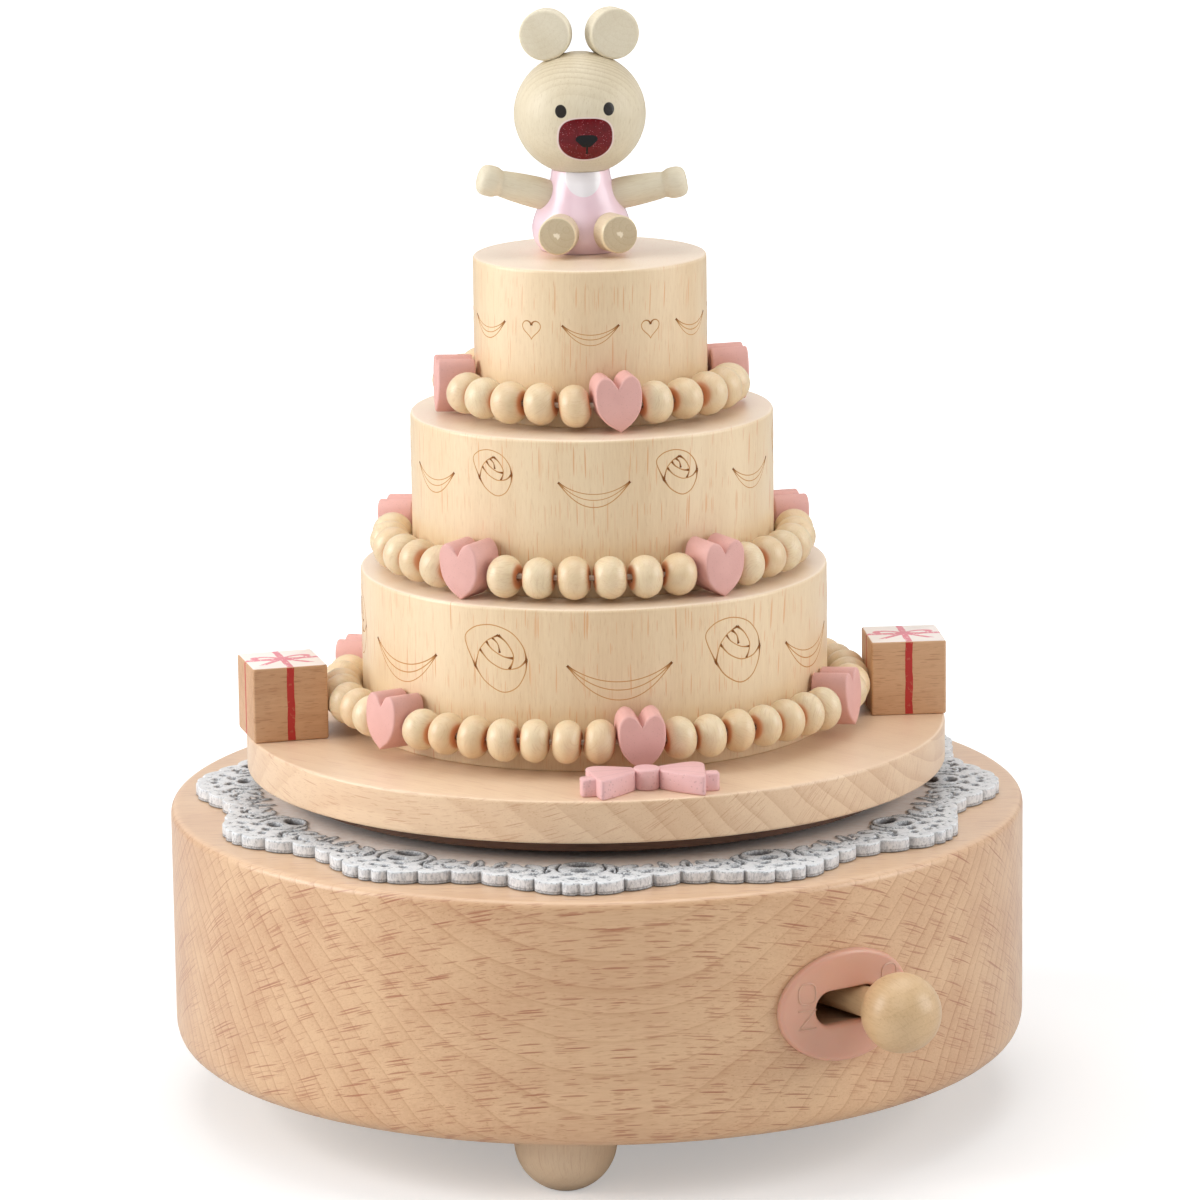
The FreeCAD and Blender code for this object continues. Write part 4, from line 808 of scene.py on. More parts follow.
def metal_look(name, colour, shade, roughness=0.32):
    """Brushed metal."""
    look = Look(name, Metallic=1.0)
    x, y, z = look.split(look.place())
    brushed = look.noise(look.combine(x * 0.3, y * 0.3, z * 6.0), 1.0, 3.0)
    tone = look.mix(brushed, colour, shade)
    look.set("Roughness", look.part(brushed, 0.2, 0.8, roughness - 0.08, roughness + 0.12))
    return look.finish(tone, brushed, 0.08, 0.03)


def plastic_look(name, colour, shade):
    look = Look(name)
    place = look.place()
    cloud = look.noise(place, 0.5, 3.0)
    tone = look.mix(cloud, colour, shade)
    look.set("Roughness", look.part(cloud, 0.3, 0.7, 0.4, 0.53))
    return look.finish(tone, look.noise(place, 4.0), 0.08, 0.03)


def plywood_look():
    """Plain plywood: grain along X on its faces, and plies of two tones round its edge."""
    look = Look("plywood", Roughness=0.6)
    x, y, z = look.split(look.place())
    streak = look.noise(look.combine(x * 0.06, y * 1.4, z), 1.0, 4.0, 0.6)
    tone = look.mix(look.part(streak, 0.3, 0.7), tint(222, 190, 148), tint(196, 158, 114))
    ply = look.inside(look.math("FRACT", z / 0.85), 0.4)
    tone = look.mix(ply * look.upright(0.8, 0.3) * 0.55, tone, tint(140, 100, 66))
    return look.finish(tone, streak, 0.3, 0.1)


# Pieces on the base

def cut_out(obj, cutters):
    """Cuts closed shapes out of a piece."""
    for shape in cutters:
        cutter = placed_mesh("cutter", shape)
        change = obj.modifiers.new("cut", "BOOLEAN")
        change.operation = "DIFFERENCE"
        change.solver = "EXACT"
        change.object = cutter
        bpy.context.view_layer.update()
        cut = bpy.data.meshes.new_from_object(obj.evaluated_get(bpy.context.evaluated_depsgraph_get()))
        obj.modifiers.clear()
        obj.data = cut
        bpy.data.objects.remove(cutter)
    obj.data.shade_smooth()
    obj.data.set_sharp_from_angle(angle=math.radians(35))


def drum():
    """The drum with rounded rims, the cover's recess, the movement's pocket and the lever's way out."""
    low, high = span("base_drum")
    radius = high[0]
    cover_low, cover_high = span("bottom_cover")
    recess = cover_high[0] + RECESS_GAP
    corners = [(0, cover_high[2], 0), (recess, cover_high[2], 0), (recess, low[2], RECESS_ROUND),
               (radius, low[2], DRUM_BOTTOM_ROUND), (radius, high[2], DRUM_TOP_ROUND), (0, high[2], 0)]
    turned = lathe(softened(corners, closed=False, steps=8))
    obj = piece("drum", turned, "base", drum_wood, ["base_drum"])
    bed_turn = spin("Z", BEDPLATE_AZIMUTH)
    bed = places(frame["nodes"]["bedplate"]) @ bed_turn
    start, end = bed.min(axis=0) - POCKET_GAP, bed.max(axis=0) + POCKET_GAP
    corners = [(start[0], start[1]), (end[0], start[1]), (end[0], end[1]), (start[0], end[1])]
    outline = softened([(x, y, POCKET_CORNER) for x, y in corners])
    points, faces = slab(outline, cover_low[2] - CUT_PAST, span("bedplate")[1][2], THIN_EDGE, 1)
    pocket = (points @ bed_turn.T, faces)
    hinge = joint_place("lever")[1]
    half, rise = TUNNEL_WIDTH / 2, TUNNEL_HEIGHT / 2
    sides = np.array([(0, -half), (radius, -half), (radius, half), (0, half)], float)
    points, faces = slab(sides, hinge[2] - rise, hinge[2] + rise, THIN_EDGE, 1)
    tunnel = (points @ spin("Z", LEVER_AZIMUTH - 90).T + [hinge[0], hinge[1], 0], faces)
    bush_low, bush_high = span("arbor_bush")
    bore, below, above = bush_high[0] + BORE_GAP, bush_low[2] - CUT_PAST, high[2] + CUT_PAST
    hole = lathe([(0, below), (bore, below), (bore, above), (0, above)], SMALL_ROUND)
    cut_out(obj, [pocket, tunnel, hole])
    grow(obj, (1, 0.03, 0.02), (0, 84, -44))


def feet():
    """Three turned feet, each a ball flattened where it stands."""
    drum_low = span("base_drum")[0][2]
    for k in range(3):
        node = f"foot_{k + 1}"
        radius = half_width(node)
        centre = math.sqrt(radius ** 2 - FOOT_FLAT_R ** 2)
        angles = np.radians(np.linspace(-math.degrees(math.acos(FOOT_FLAT_R / radius)), 0, 14))
        profile = [(0, 0)] + [(radius * math.cos(a), centre + radius * math.sin(a)) for a in angles]
        top = span(node)[1][2]
        profile += [(radius, drum_low - 0.05), (radius - FOOT_SHOULDER, drum_low), (TENON_R, drum_low),
                    (TENON_R, top), (0, top)]
        points, faces = lathe(profile, SMALL_ROUND)
        x, y, _ = middle(node)
        shape = (points + [x, y, 0], faces)
        obj = piece(f"turned_foot_{k + 1}", shape, "base", foot_wood, [node])
        grow(obj, (0.05, 0.02, 1), (x + 3.0 + k, y - 2.0, 0))


def scallops(azimuth):
    """The ends of an azimuth's scallop as shares of the lobe, how far along it is, and its width."""
    cusps = np.concatenate([[0], np.cumsum(SCALLOP_WIDTHS)]) / sum(SCALLOP_WIDTHS)
    share = ((azimuth - DOILY_TIP_AZIMUTH) * DOILY_LOBES / 360.0 + 0.5) % 1.0
    index = np.clip(np.searchsorted(cusps, share, side="right") - 1, 0, len(SCALLOP_WIDTHS) - 1)
    start, end = cusps[index], cusps[index + 1]
    return start, end, (share - start) / (end - start), np.array(SCALLOP_WIDTHS)[index]


def doily_outline(azimuth):
    """The scalloped edge's radius at an azimuth."""
    start, end, here, widths = scallops(azimuth)

    def cusp_radius(s):
        return DOILY_VALLEY_R + (DOILY_TIP_R - DOILY_VALLEY_R) * np.cos(math.pi * (s - 0.5)) ** 2

    base = cusp_radius(start) * (1 - here) + cusp_radius(end) * here
    bulge = SCALLOP_BULGE * np.sqrt(widths / max(SCALLOP_WIDTHS))
    return base + (bulge + 0.3) * (1 - np.abs(2 * here - 1) ** 2.2) ** (1 / 2.2) - 0.45


# The doily's carving in half a lobe: how far from the lobe's middle each cut lies, how far from the
# axis, its half width and half length, and its turn. A scroll has its radius, ends and width instead.
DOILY_EYELETS = (
    (0, 43.0, 1.9, 1.05), (0, 45.7, 1.25, 0.8), (1.5, 47.5, 0.7, 0.45, 20), (0.8, 49.5, 0.5, 0.4),
    (3.0, 48.9, 0.5, 0.4, 30), (5.9, 47.9, 0.5, 0.3, 10), (4.9, 43.3, 0.75, 0.26, 62), (7.6, 43.9, 0.4, 0.3),
    (8.4, 47.0, 0.6, 0.3, -20), (10.2, 44.6, 0.95, 0.22, 55), (11.2, 44.4, 1.0, 0.22, 80),
    (12.3, 44.3, 0.9, 0.2, 100), (10.2, 46.7, 0.4, 0.3))
DOILY_SCROLLS = (
    (0.2, 44.3, 3.1, -35, 50, 0.34), (0.6, 45.2, 4.2, -20, 28, 0.26), (5.6, 45.9, 1.5, 60, 250, 0.34),
    (8.2, 45.4, 1.25, 20, 170, 0.28), (5.6, 46.0, 0.6, -60, 120, 0.24))
DOILY_LEAVES = (
    (0, 43.6, 3.0, 2.2), (3.6, 43.9, 1.9, 1.1, 40), (6.2, 44.3, 1.8, 0.9, -30), (8.9, 44.2, 1.2, 0.7, -50),
    (11.4, 44.2, 1.9, 0.8, 75))
# Lines round the board's side near its foot: how far up each lies, and how dark it is
DOILY_PLIES = ((0.40, 0.1), (0.35, 0.7), (0.29, 0.15), (0.16, 0.3), (0.08, 0.8))


def doily_pattern(across, radius, edge):
    """How far each point lies outside the carving, in millimetres, and outside the painted band.

    A lobe's pattern is the same on both sides, so across is the distance from its middle.
    """
    def oval(x, r, half_x, half_r, turn=0.0):
        a = math.radians(turn)
        dx, dr = across - x, radius - r
        u, v = dx * math.cos(a) + dr * math.sin(a), -dx * math.sin(a) + dr * math.cos(a)
        return (np.hypot(u / half_x, v / half_r) - 1) * min(half_x, half_r)

    def arc(x, r, bend, start, end, width):
        halfway, half = (start + end) / 2, (end - start) / 2
        off = (np.degrees(np.arctan2(radius - r, across - x)) - halfway + 180) % 360 - 180
        nearest = np.radians(halfway + np.clip(off, -half, half))
        gap = np.hypot(across - x - bend * np.cos(nearest), radius - r - bend * np.sin(nearest))
        taper = np.clip(1 - np.abs(off) / (half * 1.15), 0.15, 1) ** 0.5
        return gap - width / 2 * taper

    waves = np.abs(edge - radius - 1.15) + 0.62 * np.abs(np.sin(across * 1.75)) - 0.16
    cuts = [oval(*row) for row in DOILY_EYELETS] + [arc(*row) for row in DOILY_SCROLLS] + [waves]
    ripple = 44.6 + 0.35 * np.sin(across * 2.1) - radius
    band = [oval(*row) for row in DOILY_LEAVES] + [ripple]
    return np.min(cuts, axis=0), np.min(band, axis=0)


def doily():
    """The lace board: a scalloped white rim cut with scrolls and leaves, round a smooth centre; its notches get
    painted shade.
    """
    low, high = span("lace_doily")
    bottom, top = low[2] + 0.02, high[2]
    bore = span("arbor_bush")[1][0] + BORE_GAP
    count = DOILY_LOBES * len(SCALLOP_WIDTHS) * SCALLOP_POINTS
    azimuth = np.arange(count) * 360.0 / count
    edge = doily_outline(azimuth)
    lobe = 360.0 / DOILY_LOBES
    share = ((azimuth - DOILY_TIP_AZIMUTH) / lobe + 0.5) % 1.0
    across = np.abs(share - 0.5) * math.radians(lobe) * DOILY_TIP_R * 0.95
    unit = np.column_stack([np.sin(np.radians(azimuth)), -np.cos(np.radians(azimuth))])
    rings, marks = [], []

    def ring(radius, z, *values):
        flat = unit * np.broadcast_to(radius, count)[:, None]
        rings.append(np.column_stack([flat, np.broadcast_to(z, count)]))
        marks.append(np.stack([np.broadcast_to(v, count) for v in values]))

    ring(bore, bottom, 0, 0, 1)
    for radius in (bore, *CENTRE_RADII):
        ring(radius, top - LEATHER_DROP, 0, 0, 1)
    for step in np.linspace(0, 1, CARVED_RINGS):
        radius = DOILY_BAND_R - 0.5 + (edge - 0.12 - DOILY_BAND_R + 0.5) * step
        carving, band = doily_pattern(across, radius, edge)
        white = 1 - eased(band, -0.05, 0.12)
        cut = (1 - eased(carving, -0.12, 0.10)) * white
        line = 0.75 * np.exp(-(band / 0.16) ** 2)
        rub = np.exp(-np.clip(np.minimum(carving, np.abs(band) * 0.9), 0, 9) / 0.4) * white
        z = top - LEATHER_DROP * (1 - white) - CARVING_DEPTH * cut + 0.02 * white
        ring(radius, np.minimum(z, top), np.maximum(cut, line), rub, 1 - white)
    # The notches between scallops are darkened on the rim's side: painted shade.
    notch_shade = eased(np.abs(2 * scallops(azimuth)[2] - 1), 0.8, 1.0)
    ring(edge, top - 0.14, 0.3 * notch_shade, 0.55, 0)
    for drop in (0.3, 0.7, 1.0):
        ring(edge, top - drop, 0.5 * notch_shade, 0.2 * notch_shade, 0)
    for rise, dark in DOILY_PLIES:
        ring(edge - 0.02, bottom + rise, np.maximum(dark, 0.5 * notch_shade), 0.6, 0)
    ring(edge - 0.25, bottom, 0.7, 1.0, 0)
    points, faces = loop_rings(rings, close=True)
    shape = (points, [face[::-1] for face in faces])
    obj = piece("carved_doily", shape, "base", doily_look(), ["lace_doily"], sharp=50.0)
    for name, row in zip(DOILY_MARKS, np.concatenate(marks, axis=1)):
        write(obj, name, row)


def on_plate(across, up, out):
    """Points on the lever's plate: millimetres across it, up it and out from the drum's wall."""
    hinge_z = joint_place("lever")[1][2]
    drum_r = span("base_drum")[1][0]
    across, up, out = np.broadcast_arrays(across, up, out)
    angle = math.radians(LEVER_AZIMUTH) + across / (drum_r + PLATE_THICKNESS)
    radius = drum_r + 0.02 + out
    return np.column_stack([(radius * np.sin(angle)).ravel(), (-radius * np.cos(angle)).ravel(),
                            (hinge_z + up).ravel()])


def raised(stroke, across, up):
    """A raised stroke of a letter whose middle is across and up the plate. The word reads downwards."""
    line = np.array(stroke, float)
    fine = [line[0]]
    for a, b in zip(line, line[1:]):
        fine += [a + (b - a) * s for s in np.linspace(0.2, 1, 5)]
    fine = np.array(fine)
    return tube(on_plate(across + fine[:, 1], up - fine[:, 0], PLATE_THICKNESS - 0.08), LETTER_R)


def lever_plate():
    """The oval plate with rounded rims and a slot, and small raised words for its two positions."""
    material = plate_look()
    count = 128
    angles = (np.arange(count) + 0.5) * 2 * math.pi / count
    slot_r = SLOT_HEIGHT / 2
    shift = (SLOT_WIDTH / 2 - slot_r) * np.sign(np.cos(angles))
    oval = np.column_stack([PLATE_WIDTH / 2 * np.cos(angles), PLATE_HEIGHT / 2 * np.sin(angles)])
    slot = np.column_stack([slot_r * np.cos(angles) + shift, slot_r * np.sin(angles)])

    def rounded(outline, size, degrees):
        """Rows of an outline, drawn in along a rounded rim, and how far out each lies."""
        inward = math.copysign(1, size)
        return [(offset_outline(outline, size * (1 - math.cos(a))),
                 PLATE_THICKNESS - inward * size * (1 - math.sin(a))) for a in np.radians(degrees)]

    rows = [(slot, 0.0), (slot, PLATE_THICKNESS - PLATE_LIP)] + rounded(slot, -PLATE_LIP, (30, 60, 90))
    inner, outer = offset_outline(slot, -PLATE_LIP), offset_outline(oval, PLATE_RIM)
    for s in np.linspace(0.08, 0.96, 12):
        rows.append((inner * (1 - s) + outer * s, PLATE_THICKNESS - 0.05 * math.sin(s * math.pi)))
    rows += rounded(oval, PLATE_RIM, (90, 65, 40, 15)) + [(oval, 0.0)]
    shape = loop_rings([on_plate(row[:, 0], row[:, 1], out) for row, out in rows], close=True)
    piece("oval_plate", shape, "base", material, ["lever_plate"], sharp=50.0)

    turn = np.radians(np.arange(0, 361, 15))
    ring_o = np.column_stack([half * np.sign(wave) * np.abs(wave) ** 0.7
                              for half, wave in ((1.3, np.cos(turn)), (1.2, np.sin(turn)))])
    stroke_n = [(-1.2, -1.2), (-1.2, 1.2), (1.2, -1.2), (1.2, 1.2)]
    strokes_f = [[(-0.85, -1.1), (-0.85, 1.1), (0.85, 1.1)], [(-0.85, 0.1), (0.5, 0.1)]]
    words = [(ring_o, -6.0, 2.3), (stroke_n, -6.0, -0.95), (ring_o, 6.3, 2.9)]
    words += [(stroke, 6.6, -0.1) for stroke in strokes_f] + [(stroke, 6.3, -3.0) for stroke in strokes_f]
    letters = joined([raised(*row) for row in words])
    piece("plate_letters", letters, "base", material, sharp=60.0)


# Pieces on the turntable

def turned_piece(name, node, material, edge, foot_edge, fibre, pith, bore=0.0):
    """A turned disc or tier in a node's place, with its edges rounded."""
    low, high = span(node)
    radius = half_width(node)
    corners = [(bore, low[2], 0), (radius, low[2], foot_edge), (radius, high[2], edge), (bore, high[2], 0)]
    profile = list(softened(corners, closed=False, steps=5))
    if bore:
        profile.append(profile[0])
    obj = piece(name, lathe(profile), "turntable", material, [node])
    grow(obj, fibre, pith)


def string_radius(tier):
    return half_width(f"cake_tier_{STRING_TIERS[tier]}") + BEAD_DIA / 2 + STRING_GAP


def string_stations(tier):
    """The azimuths of a string's hearts and of its beads."""
    sector = 360.0 / HEART_COUNTS[tier]
    heart_share = math.degrees(HEART_WIDTH / string_radius(tier))
    step = (sector - heart_share) / BEADS_BETWEEN[tier]
    hearts = [HEART_AZIMUTHS[tier] + k * sector for k in range(HEART_COUNTS[tier])]
    starts = [heart + heart_share / 2 for heart in hearts]
    return hearts, [start + (n + 0.5) * step for start in starts for n in range(BEADS_BETWEEN[tier])]


def bead_profile(width):
    """A bead's half outline along its bore: a round barrel with small flats at the hole."""
    half, radius, hole = width / 2, BEAD_DIA / 2, BEAD_HOLE_DIA / 2
    profile = [(hole, -half + 0.1)]
    round_end = math.radians(76)
    for a in np.radians(np.linspace(-76, 76, 21)):
        share = math.sin(a) / math.sin(round_end)
        profile.append((radius * math.cos(a) ** 0.66, half * math.copysign(abs(share) ** 1.08, share)))
    profile += [(hole, half - 0.1), (hole, -half + 0.1)]
    return profile


def bead_string(tier, material):
    """All of one string's beads, each turned and sized a little differently."""
    word = STRING_TIERS[tier]
    z = middle(f"beads_{word}")[2]
    shapes, grain, fibres, own, tips = [], [], [], [], []
    azimuths = string_stations(tier)[1]
    spacing = math.radians(azimuths[1] - azimuths[0]) * string_radius(tier)
    points, faces = lathe(bead_profile(min(BEAD_WIDTH, spacing - BEAD_CLEARANCE)), 28)
    for azimuth in azimuths:
        size = np.append(np.clip(rng.normal(1.0, 0.018, 2), 0.96, 1.03), rng.uniform(0.90, 1.0))
        tilt = spin("Y", rng.normal(0, 5)) @ spin("X", rng.normal(0, 5))
        local = points * size
        turned = local @ tilt.T @ spin("Y", 90).T
        centre = polar(string_radius(tier) + rng.normal(0, 0.06), azimuth, z + rng.normal(0, 0.07))
        shapes.append((turned @ spin("Z", azimuth).T + centre, faces))
        angle = rng.uniform(0, 6.28)
        log_turn = np.array(Matrix.Rotation(angle, 3, Vector(rng.normal(size=3)).normalized()))
        grain.append(local @ log_turn + rng.uniform(-40, 40, 3) * [4, 0.2, 0.2])
        fibres.append(np.tile([1.0, 0, 0], (len(points), 1)))
        own.append(np.full(len(points), rng.uniform(0, 1)))
        # How near each point lies to its bead's ends, for the painted shade where beads meet.
        tips.append(eased(np.abs(points[:, 2]) / np.abs(points[:, 2]).max(), 0.86, 0.98))
    obj = piece(f"bead_string_{word}", joined(shapes), "turntable", material, [f"beads_{word}"],
                sharp=50.0)
    for name, values in (("grain", grain), ("fibre", fibres), ("own", own), ("tip", tips)):
        write(obj, name, np.concatenate(values))


HEART_CORNERS = [
    (0, -3.6, 0.6), (1.75, -2.45, 0.9), (2.8, -0.85, 1.2), (HEART_WIDTH / 2, 1.3, 1.0), (2.75, 2.75, 0.8),
    (1.85, 3.6, 0.8), (0.75, 3.2, 0.6), (0, 1.95, 0)]


def heart_outline():
    """Two rounded lobes over full sides and a blunt tip, drawn counterclockwise."""
    right = softened(HEART_CORNERS, closed=False, steps=6)
    return np.concatenate([right, right[-2:0:-1] * [-1, 1]])


def heart_string(tier, material):
    word = STRING_TIERS[tier]
    z = middle(f"hearts_{word}")[2]
    shapes = []
    points, faces = slab(heart_outline(), -HEART_DEPTH / 2, HEART_DEPTH / 2, 0.28)
    standing = points @ spin("X", 90).T
    for azimuth in string_stations(tier)[0]:
        tilt = spin("Y", rng.normal(0, 3)) @ spin("Z", azimuth + rng.normal(0, 2))
        tilt = tilt @ spin("X", rng.normal(0, 2))
        shapes.append((standing @ tilt.T + polar(string_radius(tier), azimuth, z), faces))
    piece(f"heart_string_{word}", joined(shapes), "turntable", material, [f"hearts_{word}"])


def elastic(tier, material):
    word = STRING_TIERS[tier]
    z = middle(f"cord_{word}")[2]
    path = [polar(string_radius(tier), azimuth, z) for azimuth in range(0, 360, 3)]
    shape = tube(path, CORD_DIA / 2, 10, closed=True)
    piece(f"elastic_{word}", shape, "turntable", material, [f"cord_{word}"])


def gift_box(node, material):
    centre = middle(node)
    half = GIFT_SIZE / 2
    corners = [(-half, -half, 0.35), (half, -half, 0.35), (half, half, 0.35), (-half, half, 0.35)]
    points, faces = slab(softened(corners, steps=4), -half, half, 0.3)
    turn = spin("Z", GIFT_TURNS[node])
    shape = (points @ turn.T + [centre[0], centre[1], span(node)[0][2] + half], faces)
    obj = piece(f"{node}_box", shape, "turntable", material, [node], sharp=50.0)
    write(obj, "local", points)
    write(obj, "grain", points + [centre[0], 24.0, 15.0])
    write(obj, "fibre", np.tile(turn @ [1.0, 0, 0], (len(points), 1)))


BOW_LOBE = [
    (1.5, -1.15, 0.45), (3.9, -3.7, 1.6), (6.45, -5.7, 0.9), (7.5, 2.0, 1.2), (6.0, 2.85, 1.2),
    (4.0, 2.2, 1.6), (1.5, 1.15, 0.45)]
BOW_TAB = [(5.5, -3.4, 0.2), (8.6, -3.4, 0.7), (8.6, -1.4, 0.7), (5.5, -1.4, 0.2)]


def bow(material):
    """The bow: two flared lobes that meet in a round knot, with short tabs at their ends."""
    low, high = span("ribbon_bow")
    turn = np.radians(np.arange(0, 360, 10))
    knot = np.column_stack([1.65 * np.cos(turn), 1.75 * np.sin(turn)])
    height = high[2] - low[2]
    shapes = [slab(knot, 0, height, 0.22)]
    for side in (1, -1):
        for outline, drop in ((BOW_LOBE, 0.15), (BOW_TAB, 0.35)):
            shapes.append(slab(softened(outline) * [side, 1], 0, height - drop, 0.22))
    points, faces = joined(shapes)
    placed = points @ spin("Z", BOW_TURN).T + [*BOW_PLACE, low[2]]
    obj = piece("ribbon_bow_board", (placed, faces), "turntable", material, ["ribbon_bow"])
    write(obj, "local", points)


# Burnt line ornament, six motifs of each kind round a tier

MOTIF_STEPS = np.arange(6) * 60.0


def burnt_line(path, width, radius, azimuth, z, knot=1.2):
    """One thin burnt line on a tier's wall, thicker and darker at its ends, and how dark each point is."""
    path = np.asarray(path, float)
    steps = np.linalg.norm(np.diff(path, axis=0), axis=1)
    along = np.concatenate([[0], np.cumsum(steps)])
    from_end = np.minimum(along, along[-1] - along)
    half = width / 2 * (0.7 + knot * np.exp(-from_end / (0.35 * knot + 0.1)))
    ahead = np.gradient(path, axis=0)
    ahead /= np.linalg.norm(ahead, axis=1)[:, None] + 1e-9
    side = np.column_stack([-ahead[:, 1], ahead[:, 0]])

    def wrap(line, out):
        angle = math.radians(azimuth) + line[:, 0] / radius
        far = radius + out
        return np.column_stack([far * np.sin(angle), -far * np.cos(angle), z + line[:, 1]])

    rings = np.stack([wrap(path + side * half[:, None], 0.0), wrap(path, -0.08),
                      wrap(path - side * half[:, None], 0.0), wrap(path, 0.02)], axis=1)
    dark = 0.1 + 0.85 * np.exp(-from_end / 0.7)
    return loop_rings(list(rings), caps=True), np.repeat(dark, 4)


# A small open rose of radius 1: a tilted, folded bud inside one round outer petal
ROSE_STROKES = (
    [(-0.66, -0.28), (-1.0, 0.5), (-0.76, 0.85), (-0.3, 1.0), (0.14, 0.97), (0.58, 0.78), (0.9, 0.4),
     (1.0, 0.0)],
    [(1.0, 0.0), (0.95, -0.4), (0.68, -0.84), (0.22, -1.0), (-0.32, -0.72), (-0.66, -0.28)],
    [(-0.66, -0.28), (-0.6, -0.05), (-0.5, 0.24), (-0.28, 0.5), (-0.08, 0.62), (0.12, 0.71)],
    [(0.12, 0.71), (0.38, 0.5), (0.58, 0.18), (0.57, -0.06), (0.46, -0.3)],
    [(-0.5, 0.24), (-0.2, -0.08), (0.18, -0.28), (0.46, -0.3), (0.76, -0.22), (1.0, 0.0)],
    [(-0.28, 0.5), (-0.1, 0.28), (0.26, 0.08), (0.58, 0.04)],
    [(-0.08, 0.62), (0.1, 0.44), (0.16, 0.18)],
)


def rose_lines(size):
    return [np.array(catmull(stroke, 8)) * size for stroke in ROSE_STROKES]


def swag_lines(width, drop):
    """A garland of three fine threads between two knots."""
    s = np.linspace(-1, 1, 61)
    sag = 1 - np.abs(s) ** 2.1
    return [np.column_stack([s * width / 2, -depth * drop * sag]) for depth in (0.5, 0.75, 1.05)]


def small_heart_lines(size):
    t = np.linspace(0, 2 * math.pi, 44)
    x = np.sin(t) ** 3
    y = (13 * np.cos(t) - 5 * np.cos(2 * t) - 2 * np.cos(3 * t) - np.cos(4 * t)) / 16
    return [np.column_stack([x, y]) * size]


# The motifs on each tier: lines, the first one's azimuth, its height on the wall and the lines' width
ORNAMENT = (
    ((rose_lines(4.2), -24.5, 14.0, 0.2), (swag_lines(13.2, 4.2), 6.0, 13.5, 0.18)),
    ((rose_lines(2.85), -32.8, 15.4, 0.17), (swag_lines(9.0, 3.0), 0.5, 14.7, 0.16)),
    ((small_heart_lines(1.3), 30.0, 12.4, 0.2), (swag_lines(7.2, 2.4), 0.0, 13.0, 0.15)),
)


def ornament(tier, motifs, material):
    """All the burnt lines round one tier, as one piece."""
    node = f"cake_tier_{STRING_TIERS[tier]}"
    radius, foot = half_width(node), span(node)[0][2]
    shapes, dark = [], []
    for lines, first, height, width in motifs:
        for azimuth in first + MOTIF_STEPS:
            for line in lines:
                closed = np.linalg.norm(line[0] - line[-1]) < 0.1
                sway = rng.normal(0, 0.05, 2) * closed
                thick = width * rng.uniform(0.85, 1.15)
                shape, tone = burnt_line(line + sway, thick, radius, azimuth, foot + height)
                shapes.append(shape)
                dark.append(tone)
    obj = piece(f"burnt_lines_{STRING_TIERS[tier]}", joined(shapes), "turntable", material,
                sharp=60.0)
    write(obj, "burn", np.concatenate(dark))


# The bear

def bear_piece(name, node, shape, turn, shift, material, fibre=(0, 0, 1), pith=(3.0, 2.0, 0),
               sawn_end=0.0):
    """A piece of the bear, made at the origin, turned, and moved to its place on the bear."""
    points, faces = shape
    low, high = span("bear_body")
    seat = np.array([(low[0] + high[0]) / 2, (low[1] + high[1]) / 2, low[2]])
    bear_turn = spin("Z", BEAR_TURN)
    placed = points @ turn.T + np.asarray(shift, float)
    placed = placed @ bear_turn.T + seat
    obj = piece(name, (placed, faces), "turntable", material, [node], sharp=45.0)
    write(obj, "local", points + [0, sawn_end, 0])
    grow(obj, fibre, pith, points, bear_turn @ turn @ np.asarray(fibre, float))


# Half outlines up the bear's body, with the radius as a share of its belly's, and along an arm
BEAR_BODY = [
    (0.76, 0), (0.84, 0.25), (0.965, 1.4), (1, 2.8), (0.975, 3.9), (0.90, 5.2), (0.79, 6.6), (0.695, 8.0),
    (0.615, 9.2)]
BEAR_ARM = [
    (1.5, -0.8), (1.9, 0.6), (2.02, 1.8), (1.98, 3.4), (1.86, 5.2), (1.72, 6.6), (1.64, 7.0), (1.72, 7.3),
    (1.94, 7.8), (2.0, 8.5), (1.92, 9.2), (1.6, 9.75), (1.0, 10.0)]


